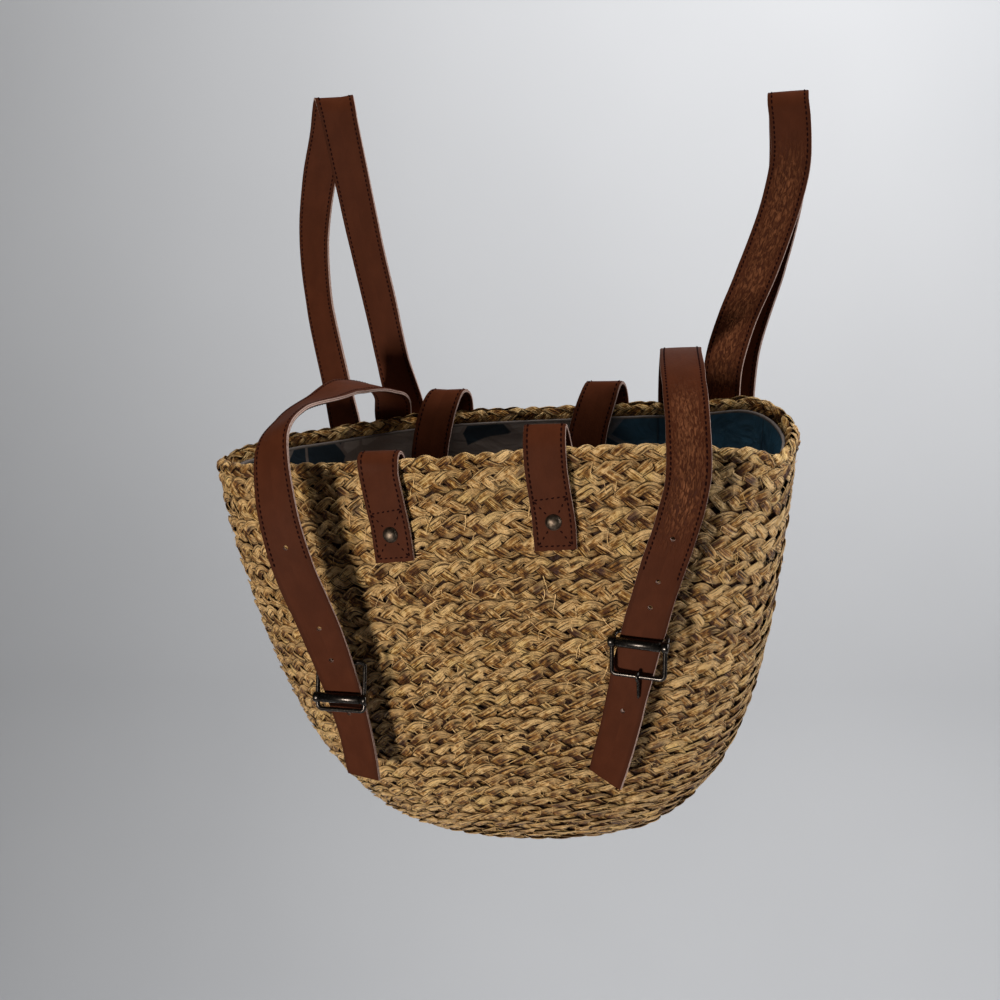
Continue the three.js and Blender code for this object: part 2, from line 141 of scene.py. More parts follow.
def ramp_up(value, low, high):
    """0 below low, 1 above high and a smooth step between."""
    t = np.clip((value - low) / (high - low), 0, 1)
    return t * t * (3 - 2 * t)


# Straw body

def section_at(place):
    """The section table's columns at places between its rows, blended by Catmull-Rom."""
    last = len(SECTIONS) - 1
    k = np.clip(np.floor(place).astype(int), 0, last - 1)
    t = (place - k)[..., None]
    a, b, c, d = (SECTIONS[np.clip(k + step, 0, last)] for step in (-1, 0, 1, 2))
    blend = b + 0.5 * t * (c - a + t * (2 * a - 5 * b + 4 * c - d + t * (3 * (b - c) + d - a)))
    return np.moveaxis(blend, -1, 0)


def place_at(z):
    """The place between the table's rows whose section lies at a height."""
    places = np.linspace(0, len(SECTIONS) - 1, TABLE_PLACES)
    return np.interp(-np.asarray(z, float), -section_at(places)[0], places)


def rim_rise(angle):
    """The rim wave at an angle: smooth steps between the table's rows."""
    turned = np.degrees(angle) % 360
    k = np.clip(np.searchsorted(RIM_WAVE[:, 0], turned, side="right"), 1, len(RIM_WAVE) - 1)
    before, after = RIM_WAVE[k - 1], RIM_WAVE[k]
    t = (turned - before[..., 0]) / (after[..., 0] - before[..., 0])
    return before[..., 1] + (after - before)[..., 1] * t * t * (3 - 2 * t)


def wave_at(angle, z):
    """The rim wave at a height: full at the rim and gone lower down."""
    return rim_rise(angle) * np.clip((z - WAVE_FADES_TO) / (WAVE_FADES_FROM - WAVE_FADES_TO), 0, 1)


def outline(section, angle):
    """Points of superellipses.

    x is cos to the power 2 / squareness times the reach to that side, and y the same of sin.
    """
    z, left, right, front, back, square_left, square_right = section
    c, s = np.cos(angle), np.sin(angle)
    power = 2 / np.where(c < 0, square_left, square_right)
    x = np.abs(c) ** power * np.where(c < 0, left, right)
    y = np.abs(s) ** power * np.where(s < 0, front, back)
    return np.stack([x, y, z + wave_at(angle, z)], -1)


class Skin:
    """A closed band of points, kept as a grid and read anywhere between its points.

    row runs from 0 to 1 across the band and turn from 0 to 1 round it. reach is the band's width
    in millimetres at each turn.
    """

    def __init__(self, points):
        self.points = points
        self.reach = np.linalg.norm(np.diff(points, axis=0), axis=2).sum(0)
        around = np.roll(points, -1, 1) - np.roll(points, 1, 1)
        normals = np.cross(np.gradient(points, axis=0), around)
        self.normals = normals / np.maximum(np.linalg.norm(normals, axis=2, keepdims=True), TINY)

    def at(self, row, turn):
        """Points and normals: the four grid points round a place, blended in both directions."""
        rows, columns = self.points.shape[:2]
        row, turn = np.broadcast_arrays(row, turn)
        r = np.clip(row, 0, 1) * (rows - 1)
        above = np.minimum(r.astype(int), rows - 2)
        c = (turn % 1) * columns
        left = c.astype(int) % columns
        right = (left + 1) % columns
        down, over = (r - above)[..., None], (c % 1)[..., None]

        def read(grid):
            upper = grid[above, left] * (1 - over) + grid[above, right] * over
            lower = grid[above + 1, left] * (1 - over) + grid[above + 1, right] * over
            return upper * (1 - down) + lower * down

        return read(self.points), read(self.normals)

    def reach_at(self, turn):
        """The band's width at a turn."""
        columns = len(self.reach)
        c = (turn % 1) * columns
        left = c.astype(int) % columns
        return self.reach[left] * (1 - c % 1) + self.reach[(left + 1) % columns] * (c % 1)


def evenly_down(points, rows):
    """The grid's columns read again at even distances down the surface."""
    steps = np.linalg.norm(np.diff(points, axis=0), axis=2)
    down = np.concatenate([np.zeros((1, points.shape[1])), np.cumsum(steps, 0)])
    part = down / down[-1]
    wanted = np.linspace(0, 1, rows)
    before = (part[None] <= wanted[:, None, None]).sum(1) - 1
    before = np.clip(before, 0, len(points) - 2)
    low, high = (np.take_along_axis(part, k, 0) for k in (before, before + 1))
    t = ((wanted[:, None] - low) / np.maximum(high - low, TINY))[..., None]
    a, b = (np.take_along_axis(points, k[..., None], 0) for k in (before, before + 1))
    return a * (1 - t) + b * t


def wall_skin():
    """The straw wall from under the rim to the middle of the base.

    Superellipse rings down the section table, then flat rings that shrink onto a short line, read
    again at even distances down the wall.
    """
    places = np.linspace(place_at(WALL_STARTS_AT), len(SECTIONS) - 1, WALL_RINGS)
    wall = outline(section_at(places)[:, :, None], RING_ANGLES[None, :])
    core = wall[-1] * (BASE_CORE, 0, 1)
    shrink = np.linspace(0, 1, BASE_RINGS + 1)[1:, None, None]
    base = wall[-1] + (core - wall[-1]) * shrink
    return Skin(evenly_down(np.concatenate([wall, base]), SKIN_ROWS))


def rim_line():
    """The middle line of the rim's bead and the level outward direction along it."""
    ring = outline(section_at(place_at(-RIM_HALF_HEIGHT))[:, None], RING_ANGLES)
    along = np.roll(ring, -1, 0) - np.roll(ring, 1, 0)
    outward = unit(np.stack([along[:, 1], -along[:, 0], np.zeros(len(along))], -1))
    return ring - outward * STRAW_WALL / 2, outward


def bead_skin(first, last, rows=48, swell=0.0):
    """The rim's oval bead between two angles round it: middle + outward * cos + up * sin."""
    middle, outward = rim_line()
    turn = np.radians(np.linspace(first, last, rows))[:, None, None]
    up = np.array([0.0, 0.0, 1.0])
    across, tall = RIM_HALF_THICKNESS + swell, RIM_HALF_HEIGHT + swell
    return Skin(middle + outward * across * np.cos(turn) + up * tall * np.sin(turn))


# Meshes

class Shell:
    """Grids of points gathered into one mesh, with a UV map and named values at the points."""

    def __init__(self, *names):
        self.count = 0
        self.points = []
        self.faces = []
        self.uvs = []
        self.values = {name: [] for name in names}

    def add(self, points, uv=None, wrap=(False, False), flip=False, **values):
        """Adds a grid of points, whose faces join each point to its right and lower neighbours.

        wrap joins the last row or column to the first again, and then uv has one row or column
        more than the grid.
        """
        rows, columns = points.shape[:2]
        i, j = np.meshgrid(
            np.arange(rows if wrap[0] else rows - 1),
            np.arange(columns if wrap[1] else columns - 1),
            indexing="ij",
        )
        below, right = (i + 1) % rows, (j + 1) % columns
        corners = [(i, j), (i, right), (below, right), (below, j)]
        unrolled = [(i, j), (i, j + 1), (i + 1, j + 1), (i + 1, j)]
        if flip:
            corners.reverse()
            unrolled.reverse()
        if uv is None:
            uv = np.zeros((rows + 1, columns + 1, 2))
        faces = np.stack([a * columns + b for a, b in corners], -1).reshape(-1, 4)
        self.faces.append(faces + self.count)
        self.uvs.append(np.stack([uv[a, b] for a, b in unrolled], -2).reshape(-1, 2))
        self.points.append(points.reshape(-1, 3))
        for name, stored in self.values.items():
            stored.append(np.broadcast_to(values.get(name, 0.0), (rows, columns)).reshape(-1))
        self.count += rows * columns

    def build(self, name, material, slot, *nodes):
        """Makes the object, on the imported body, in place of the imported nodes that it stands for."""
        mesh = bpy.data.meshes.new(name)
        faces = np.concatenate(self.faces).astype(np.int32)
        points = (np.concatenate(self.points) + RIM_CENTRE) * MM
        mesh.vertices.add(len(points))
        mesh.vertices.foreach_set("co", points.astype(np.float32).ravel())
        mesh.loops.add(faces.size)
        mesh.loops.foreach_set("vertex_index", faces.ravel())
        mesh.polygons.add(len(faces))
        mesh.polygons.foreach_set("loop_start", np.arange(0, faces.size, 4, dtype=np.int32))
        mesh.polygons.foreach_set("use_smooth", np.ones(len(faces), dtype=bool))
        layer = mesh.uv_layers.new(name="Lay")
        layer.data.foreach_set("uv", np.concatenate(self.uvs).astype(np.float32).ravel())
        for key, stored in self.values.items():
            attribute = mesh.attributes.new(key, "FLOAT", "POINT")
            attribute.data.foreach_set("value", np.concatenate(stored).astype(np.float32))
        mesh.update(calc_edges=True)
        mesh.validate()
        mesh.materials.append(material)
        piece = bpy.data.objects.new(name, mesh)
        bpy.context.scene.collection.objects.link(piece)
        if slot:
            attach(piece, "root")
        if nodes:
            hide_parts(*nodes)
        return piece


def crisp(piece, angle):
    """Keeps the piece's folds sharp where its faces meet at more than an angle in degrees."""
    piece.data.set_sharp_from_angle(angle=radians(angle))


def wander(rng, lines, samples, knots):
    """Smooth closed random curves, one a line: random knots joined by half cosine waves."""
    values = rng.uniform(-1, 1, (lines, knots))
    at = np.arange(samples) * knots / samples
    k = at.astype(int)
    t = (1 - np.cos(pi * (at - k))) / 2
    return values[:, k] * (1 - t) + values[:, (k + 1) % knots] * t


# Plait: a strand's section, as parts of its half width and half thickness. The first TOP_POINTS go over
# its nearly flat top from edge to edge, and one point near its upper edge, given below, takes a painted
# highlight.
STRAND_SECTION = np.array([
    (1.0, -0.3), (0.80, 0.75), (0.55, 0.98), (0.2, 1.0), (-0.2, 1.0), (-0.48, 0.95), (-0.70, 0.70),
    (-1.0, -0.3), (0.0, -0.8),
])
TOP_POINTS = 8
HIGHLIT_EDGE = 0.80

# A row: samples round it and to a repeat, how they crowd at the folds, its lean in millimetres, its least
# height as a part of what shows, and a strand's sway and half width as parts of its height.
ROW_SAMPLES = 1441
SAMPLES_PER_REPEAT = 14
CROWD_AT_FOLDS = 0.6
OVERLAP = 1.5
LEAST_COVER = 1.12
SWAY = 0.335
HALF_WIDTH = 0.22

# How sharp the folds are, how flat a strand lies on top, and how wide it is there.
FOLD = 0.95
FLATNESS = 1.5
MEAN_WIDTH = 0.92
WIDER_ON_TOP = 0.10

# Irregularities: the strands' drift along the row, stray across it, width, bulge, tilt and tones.
DRIFT = 0.4
STRAY = 0.075
WIDTH_STRAY = 0.14
BULGE = 0.22
TILT = 0.24
PETAL_TONE = 0.8
RUN_TONE = 0.35

# Painted shade: where a strand dips under and comes up again, as parts of half a turn of its phase, how
# much shade is painted where the row below overlaps it and over which span in millimetres, how much of a
# strand's two edges stays unshaded, and how sharp its folds are and how strong their painted highlight is.
DIPS_UNDER = (0.58, 0.80)
COMES_UP = (0.0, 0.14)
ROW_SHADE = 0.85
ROW_SHADE_SPAN = (-0.6, 2.6)
LOWER_EDGE_UNSHADED = 0.03
UPPER_EDGE_UNSHADED = 0.45
FOLD_SHARPNESS = 14
FOLD_HIGHLIGHT = 0.8

# Millimetres to a unit of the UV map.
UV_UNIT = 10

# Loose fibres: points along each, headings in radians, length, and the bag's mean girth.
FIBRE_POINTS = 6
FIBRE_HEADINGS = (0.6, -0.6, 1.2, -1.2)
FIBRE_LENGTHS = (4, 12)
MEAN_GIRTH = 900.0


def by_petal(rng, phase, repeats):
    """One random value for each stretch of strand that lies on top, from one dip to the next."""
    petal = np.floor((phase - 0.75 * pi) / pi).astype(int) % (2 * repeats)
    return np.take_along_axis(rng.uniform(-1, 1, (3, 2 * repeats)), petal, 1)


def plait_row(shell, skin, centre, height, straw, rng):
    """One closed row of three-strand plait, laid on a skin.

    Along the row each strand sways up and down as the arc sine of a sine, nearly straight with
    sharp folds at the row's edges, and rises and sinks as the sine of twice that phase, so it goes
    over one neighbour and under the next. The strands are a third of a repeat apart. Across a
    strand the section is a flat oval, square to the strand's own direction. Each row is taller than
    the part of it that shows, and leans out toward its upper edge, over the row above.
    """
    turns = np.linspace(0, 1, ROW_SAMPLES)
    ring = skin.at(np.full_like(turns, centre), turns)[0]
    arc = run_along(ring)
    repeats = max(round(arc[-1] / (straw.repeat / MM)), 2)
    samples = repeats * SAMPLES_PER_REPEAT
    length = arc[-1] / repeats / (2 * pi)
    halves = np.arange(samples) * 2 / SAMPLES_PER_REPEAT
    phase = pi * (halves - CROWD_AT_FOLDS * np.sin(2 * pi * halves) / (2 * pi)) - pi / 2
    drift = DRIFT * wander(rng, 3, samples, 3 * repeats)
    along = (phase + drift - (2 * pi / 3) * np.arange(3)[:, None]) * length
    shown_height = height * skin.reach_at(np.interp(along % arc[-1], arc, turns))
    tall = np.maximum(straw.braid / MM, LEAST_COVER * shown_height)
    stray, wide = (wander(rng, 3, samples, count * repeats) for count in (3, 5))
    phases = np.broadcast_to(phase, along.shape)
    tilt, bulge, petal_tone = (by_petal(rng, phases, repeats) for _ in range(3))
    tone = petal_tone * PETAL_TONE + wander(rng, 3, samples, 2 * repeats) * RUN_TONE
    swing = np.arcsin(FOLD * np.sin(phase)) / np.arcsin(FOLD)
    steep = FOLD * np.cos(phase) / np.sqrt(1 - (FOLD * np.sin(phase)) ** 2) / np.arcsin(FOLD)
    sway = SWAY * tall * swing + STRAY * tall * stray
    thick = straw.thickness / MM
    over = np.tanh(FLATNESS * np.sin(2 * phase)) / np.tanh(FLATNESS)
    lift = straw.weave / MM * (over + BULGE * bulge * (over + 1)) - straw.sink / MM
    slope = np.arctan2(SWAY * tall * steep, length)
    half = HALF_WIDTH * tall * (MEAN_WIDTH + WIDER_ON_TOP * over + WIDTH_STRAY * wide)
    across, rise = STRAND_SECTION.T
    pleats = np.stack([by_petal(rng, phases, repeats) for _ in across], -1) * (rise > 0)
    u = along[..., None] - (np.sin(slope) * half)[..., None] * across
    v = sway[..., None] + (np.cos(slope) * half)[..., None] * across
    out = lift[..., None] + 0.5 * thick * rise + (TILT * tilt * half)[..., None] * across
    out = out + OVERLAP * v / shown_height[..., None]
    out = out + straw.pleat / MM * pleats * (0.5 + 0.5 * over)[:, None]
    turn = np.interp(u % arc[-1], arc, turns)
    points, normals = skin.at(centre - v / skin.reach_at(turn), turn)
    points = points + normals * out[..., None]
    # Painted shade, kept in the depth value: darker where the strand dips under its neighbours, where the
    # row below overlaps it and along its two edges; 1 is unshaded.
    petal = phase / pi % 1
    dip_shade = ramp_up(petal, *DIPS_UNDER) * 0.5 + (1 - ramp_up(petal, *COMES_UP)) * 0.5
    covered = (shown_height - tall / 2)[..., None]
    unshaded = 1 - dip_shade[:, None] - ROW_SHADE * ramp_up(-v - covered, *ROW_SHADE_SPAN)
    upper = np.where(across == 1, UPPER_EDGE_UNSHADED, 1.0)
    unshaded = unshaded * np.where(across == -1, LOWER_EDGE_UNSHADED, upper)
    # Painted highlight, kept in the edge value: on the section point near the upper edge and on the folds
    # at the row's edges.
    crease = np.abs(np.sin(phase)) ** FOLD_SHARPNESS * FOLD_HIGHLIGHT
    edge = np.maximum(across == HIGHLIT_EDGE, crease[:, None])
    side = np.append(np.linspace(0, 1, TOP_POINTS), (1.4, 2.0))
    for k in range(3):
        lay = np.append(along[k], along[k, 0] + arc[-1]) / UV_UNIT + rng.uniform(0, 100)
        uv = np.stack(np.meshgrid(lay, side, indexing="ij"), -1)
        shell.add(points[k], uv, wrap=(True, True), tone=tone[k][:, None], depth=unshaded[k], edge=edge)


def loose_fibres(shell, skin, straw, rng):
    """Short stray fibres: thin bent ribbons that start in the plait and curl off it."""
    count = straw.fibres
    row, turn = rng.uniform(0.01, 0.86, count), rng.uniform(0, 1, count)
    heading = rng.choice(FIBRE_HEADINGS, count) + rng.normal(0, 0.3, count)
    heading = heading + pi * rng.integers(0, 2, count)
    length = rng.uniform(*FIBRE_LENGTHS, count)
    bend = rng.uniform(-0.9, 0.9, count)
    stand = 0.7 + 2.6 * rng.uniform(0, 1, count) ** 4
    t = np.linspace(0, 1, FIBRE_POINTS)
    way = heading[:, None] + bend[:, None] * t
    step = length[:, None] / (FIBRE_POINTS - 1)
    u = np.cumsum(np.cos(way) * step, 1)
    v = np.cumsum(np.sin(way) * step, 1)
    reach = skin.reach_at(turn)[:, None]
    side = np.array([-1.0, 1.0])
    width = rng.uniform(0.12, 0.28, count)[:, None] * (1 - 0.75 * t)
    u = u[..., None] - (np.sin(way) * width)[..., None] * side
    v = v[..., None] + (np.cos(way) * width)[..., None] * side
    row, turn = row[:, None, None], turn[:, None, None]
    points, normals = skin.at(row - v / reach[..., None], turn + u / MEAN_GIRTH)
    lift = -0.8 + stand[:, None] * t * (1.4 - 0.5 * t)
    points = points + normals * lift[..., None, None]
    uv = np.zeros((FIBRE_POINTS, 2, 2))
    uv[..., 0] = t[:, None]
    for k in range(count):
        # Loose fibres take no painted shade and a faint painted highlight.
        shell.add(points[k], uv + k, tone=0.9, depth=1.0, edge=0.4)


# Straps

def on_wall(side, x, z, lift, face):
    """A route row on the front or back wall, lifted off it, with the strap's face square to the wall."""
    level = dict(zip(SECTION_COLUMNS, section_at(place_at(z))))
    square = level["square_left"] if x < 0 else level["square_right"]
    part = x / abs(level["left"] if x < 0 else level["right"])
    angle = np.arccos(np.sign(x) * abs(part) ** (square / 2)) * (-1 if side == "front" else 1)
    section = dict(zip(SECTION_COLUMNS, section_at(place_at(z - wave_at(angle, z)))))
    depth = section[side]
    room = (1 - abs(part) ** square) ** (1 / square)
    slope = abs(depth) * room ** (1 - square) * abs(part) ** square / abs(x)
    swing = degrees(np.arctan(slope)) * np.sign(x)
    outward = 1 if (side == "front") == (face == 0) else -1
    return (x, depth * room + np.sign(depth) * lift, z, face, outward * swing)


# Routes: x, y, z, the way the outer side faces (0 front, 90 up, 180 back) and its swing to the right.
CLOSING_RIGHT = [
    on_wall("back", 103, -45, ON_STRAW, 180),
    on_wall("back", 103.5, -18, ON_RIM, 180),
    on_wall("back", 104.5, -1, ON_RIM + 0.6, 180),
    (106, 71, 17, 160, 0),
    (109, 57, 34, 130, 0),
    (113, 28, 45, 105, 0),
    (117, -14, 49, 90, 0),
    (122, -56, 42, 60, 0),
    (126, -86, 22, 25, 0),
    (126, -98, -6, 5, 0),
    (119, -98, -32, 0, 0),
    (108, -96, -62, 0, 0),
    (97, -94, -95, 0, -6),
    (87, -92, -128, 0, -16),
    (78, -90, -162, 0, -24),
    (67, -88, -197, 0, -33),
]
CLOSING_LEFT = [
    on_wall("back", -92, -45, ON_STRAW, 180),
    on_wall("back", -92.5, -18, ON_RIM, 180),
    on_wall("back", -93.5, -1, ON_RIM + 0.6, 180),
    (-92, 67, 12, 155, 6),
    (-95, 52, 22, 124, 18),
    (-106, 18, 31, 95, 18),
    (-111, -16, 31, 75, -2),
    (-118, -61, 30, 52, -24),
    (-120, -91, 21, 22, -23),
    (-117, -106, -12, 6, -5),
    (-110, -110, -50, 0, 6),
    (-98, -107, -93, 0, 4),
    (-90, -101, -135, 0, -10),
    (-86, -97, -168, 0, -18),
    (-85, -94, -196, 0, -22),
]
SHOULDER_LEFT = [
    on_wall("back", -83, -48, ON_STRAW + ON_STRAP, 0),
    on_wall("back", -84, -18, ON_RIM + ON_STRAP + 0.6, 0),
    on_wall("back", -85, 0, ON_RIM + ON_STRAP + 2, 0),
    (-93, 82, 34, 0, -12),
    (-100, 87, 75, 0, -14),
    (-107, 91, 115, 0, -12),
    (-113, 94, 156, 0, -6),
    (-119, 97, 198, 0, 0),
    (-121, 99, 210, 30, 0),
    (-124, 104, 215, 90, 0),
    (-128, 109, 209, 150, 0),
    (-133, 112, 194, 180, 0),
    (-146, 117, 158, 180, 10),
    (-155, 121, 120, 180, 20),
    (-157, 123, 72, 180, 25),
    (-149, 119, 12, 180, 20),
    (-136, 106, -60, 180, 0),
    (-118, 84, -125, 180, -14),
    on_wall("back", -102, -162, ON_LOWER_WALL, 180),
    on_wall("back", -94, -192, ON_LOWER_WALL, 180),
]
SHOULDER_RIGHT = [
    on_wall("back", 134, -48, ON_STRAW, 0),
    on_wall("back", 134, -18, ON_RIM, 0),
    on_wall("back", 134.5, 0, ON_RIM + 0.6, 0),
    (137, 70, 27, 0, -16),
    (146, 77, 55, 0, -16),
    (157, 83, 79, 0, -14),
    (168, 88, 105, 0, -12),
    (177, 92, 130, 0, -10),
    (183, 95, 156, 0, -6),
    (183, 97, 180, 0, 0),
    (182, 99, 191, 30, 0),
    (182, 104, 196, 90, 0),
    (182, 109, 191, 150, 0),
    (182, 112, 178, 180, 5),
    (180, 116, 140, 180, 20),
    (168, 119, 88, 180, 35),
    (148, 118, 28, 180, 35),
    (139, 108, -40, 180, 25),
    (125, 88, -112, 180, 18),
    on_wall("back", 106, -162, ON_LOWER_WALL, 180),
    on_wall("back", 98, -192, ON_LOWER_WALL, 180),
]
HANDLE_FRONT = [
    on_wall("front", -55, -59, ON_STRAW, 0),
    on_wall("front", -56.5, -40, ON_STRAW, 0),
    on_wall("front", -60, -18, ON_RIM, 0),
    on_wall("front", -62, -6, ON_RIM + 0.6, 0),
    (-62.5, -71.5, 3, 40, 0),
    (-62.5, -65.5, 5.4, 90, 0),
    (-62.5, -58, 2, 150, 0),
    (-62, -55.5, -10, 180, 0),
    (-60, -53, -34, 180, 0),
    (-55, -53, -74, 180, 0),
    (-39, -53, -107, 180, 0),
    (-5, -53, -121, 180, 0),
    (28, -53, -107, 180, 0),
    (43, -53, -74, 180, 0),
    (44, -53, -34, 180, 0),
    (42, -55.5, -2, 180, 0),
    (41, -60, 13, 150, 0),
    (41, -68, 20, 90, 0),
    (41, -74.5, 12, 30, 0),
    on_wall("front", 41.5, -4, ON_RIM + 0.6, 0),
    on_wall("front", 43, -18, ON_RIM, 0),
    on_wall("front", 44.5, -34, ON_STRAW, 0),
    on_wall("front", 45, -52, ON_STRAW, 0),
]
HANDLE_BACK = [
    on_wall("back", -50, -58, ON_STRAW, 180),
    on_wall("back", -50, -40, ON_STRAW, 180),
    on_wall("back", -50, -18, ON_RIM, 180),
    on_wall("back", -50, -3, ON_RIM + 0.6, 180),
    (-50, 77, 10, 140, 0),
    (-52, 70, 15, 90, 0),
    (-56, 60, 8, 40, 0),
    (-62, 50, -16, 10, 0),
    (-65, 46, -48, 0, 0),
    (-60, 45, -84, 0, 0),
    (-43, 45, -112, 0, 0),
    (-11, 45, -126, 0, 0),
    (23, 45, -112, 0, 0),
    (39, 45, -84, 0, 0),
    (44, 46, -48, 0, 0),
    (46, 50, -16, 10, 0),
    (53, 60, 8, 40, 0),
    (57, 70, 17, 90, 0),
    (58.5, 76.5, 11, 140, 0),
    on_wall("back", 59, -3, ON_RIM + 0.6, 180),
    on_wall("back", 59, -18, ON_RIM, 180),
    on_wall("back", 59, -40, ON_STRAW, 180),
    on_wall("back", 59, -58, ON_STRAW, 180),
]

# Closing straps: route, the roller's distance from the free end, the buckle's turn on the strap, the
# holes' distances past the roller, and where the edge stitching ends before the roller.
CLOSING = {
    "left": (CLOSING_LEFT, 59, -6, (13, -25, -47, -101), 91),
    "right": (CLOSING_RIGHT, 96, 14, (47, -23, -40, -68), 44),
}

# Buckle bars in the buckle's own frame: y back along the strap and z out of it.
BUCKLES = {
    "right": {"end": (3.6, BEHIND), "roller": (0, ROLLER_OUT), "far": (-20, ROLLER_OUT + 0.7)},
    "left": {"end": (-6.7, ROLLER_OUT + 2.4), "roller": (0, ROLLER_OUT), "far": (20, BEHIND - 1.7)},
}

# Upper half of a strap's section, from the outer face's middle to the groove between its two layers:
# inset from the edge, height over the strap's middle, and how much raw edge shows. The lower half
# mirrors it. MIDDLE_INSET stands for half of the strap's width, and LAST_STRETCH closes the way round.
MIDDLE_INSET = 12.7
UPPER_SECTION = np.array([
    (MIDDLE_INSET, 1.40, 0.0),
    (8.0, 1.40, 0.0),
    (4.6, 1.40, 0.0),
    (3.4, 1.36, 0.0),
    (2.6, 1.20, 0.0),
    (1.9, 1.34, 0.0),
    (1.0, 1.36, 0.0),
    (0.42, 1.24, 0.0),
    (0.12, 0.98, 0.35),
    (0.0, 0.62, 1.0),
    (0.06, 0.22, 1.0),
    (0.26, 0.0, 0.0),
])
STRAP_SECTION = np.vstack([UPPER_SECTION, UPPER_SECTION[-2::-1] * (1, -1, 1)])
LAST_STRETCH = 4.7

# Steps of a strap's curve from row to row, of its ribbon, and to each side for its bend.
CURVE_STEPS = 48
STRAP_STEP = 2.5
BEND_SPAN = 6.0

# Unevenness: knots along a strap, with the range of its edges' wobble and of its faces' cup.
WOBBLE = (40, -0.22, 0.22)
CUP = (12, -0.25, 0.35)

# Where a strap's look changes: how far its worked grain fades beyond its ends and inside them, bends from
# slight to sharp as one over their radius, and its margin, which takes painted shade, as parts of half its
# width.
GRAIN_FADES_OUT = 25
GRAIN_FADES_IN = 15
BENDS = (0.012, 0.06)
SHADED_MARGIN = (0.74, 0.92)

# The stretch of a strap with a worked grain, as distances along it. NO_GRAIN lies past every strap.
NO_GRAIN = (900, 950)
SHOULDER_GRAIN = {"left": NO_GRAIN, "right": (60, 215)}
CLOSING_GRAIN = {"left": NO_GRAIN, "right": (218, 300)}

# Sewing: where edge lines start, how long the box at a strap's end is, half a tab's box, the room
# round its rivet, a stitch's slant in radians, and how its thread dips and sinks into the leather.
EDGE_START = 3
END_BOX = 28
TAB_BOX_HALF = 14.4
RIVET_ROOM = 0.6
STITCH_SLANT = 0.12
STITCH_DIP = 0.16
STITCH_SINK = 0.12

# Angles in degrees over which a fold stays sharp.
STRAW_CREASE = 35
HOLE_CREASE = 62

# Seeds of the random draws that no setting gives.
LINING_SEED = 3
SHOULDER_SEED = 20
HANDLE_SEED = 30
CLOSING_SEED = 40


class Strap:
    """A strap's route, read by distance along it.

    Rows are joined by a centripetal Catmull-Rom curve. The outer side looks where face and swing
    point, made square to the curve, and the strap's breadth lies across both.
    """

    def __init__(self, rows, width):
        self.width = width
        rows = np.array(rows, float)
        points = rows[:, :3]
        ends = np.vstack([2 * points[0] - points[1], points, 2 * points[-1] - points[-2]])
        a, b, c, d = (ends[k:len(ends) - 3 + k][:, None] for k in range(4))
        gap = [np.maximum(np.sqrt(np.linalg.norm(q - p, axis=2, keepdims=True)), 1e-4)
               for p, q in ((a, b), (b, c), (c, d))]
        leave = ((b - a) / gap[0] - (c - a) / (gap[0] + gap[1]) + (c - b) / gap[1]) * gap[1]
        arrive = ((c - b) / gap[1] - (d - b) / (gap[1] + gap[2]) + (d - c) / gap[2]) * gap[1]
        s = np.linspace(0, 1, CURVE_STEPS, endpoint=False)[None, :, None]
        curve = b + s * leave + s * s * (3 * (c - b) - 2 * leave - arrive)
        curve = (curve + s ** 3 * (2 * (b - c) + leave + arrive)).reshape(-1, 3)
        self.curve = np.vstack([curve, points[-1:]])
        self.arc = run_along(self.curve)
        self.length = self.arc[-1]
        place = np.arange(len(self.curve)) / CURVE_STEPS
        face, swing = (np.radians(np.interp(place, np.arange(len(rows)), rows[:, k])) for k in (3, 4))
        level = np.cos(swing)
        looks = np.stack([np.sin(swing), -np.cos(face) * level, np.sin(face) * level], -1)
        self.tangent = unit(np.gradient(self.curve, self.arc, axis=0))
        self.out = unit(looks - (looks * self.tangent).sum(1, keepdims=True) * self.tangent)

    def frames(self, distance):
        """Origin, tangent, breadth and outer direction at distances along the strap."""
        def read(rows):
            return np.stack([np.interp(distance, self.arc, rows[:, k]) for k in range(3)], -1)

        tangent, out = unit(read(self.tangent)), read(self.out)
        out = unit(out - (out * tangent).sum(-1, keepdims=True) * tangent)
        return read(self.curve), tangent, np.cross(out, tangent), out

    def bend(self, distance):
        """How sharply the strap bends at distances along it, as one over the radius."""
        ahead, behind = (self.frames(distance + step)[1] for step in (BEND_SPAN, -BEND_SPAN))
        return np.linalg.norm(ahead - behind, axis=-1) / (2 * BEND_SPAN)


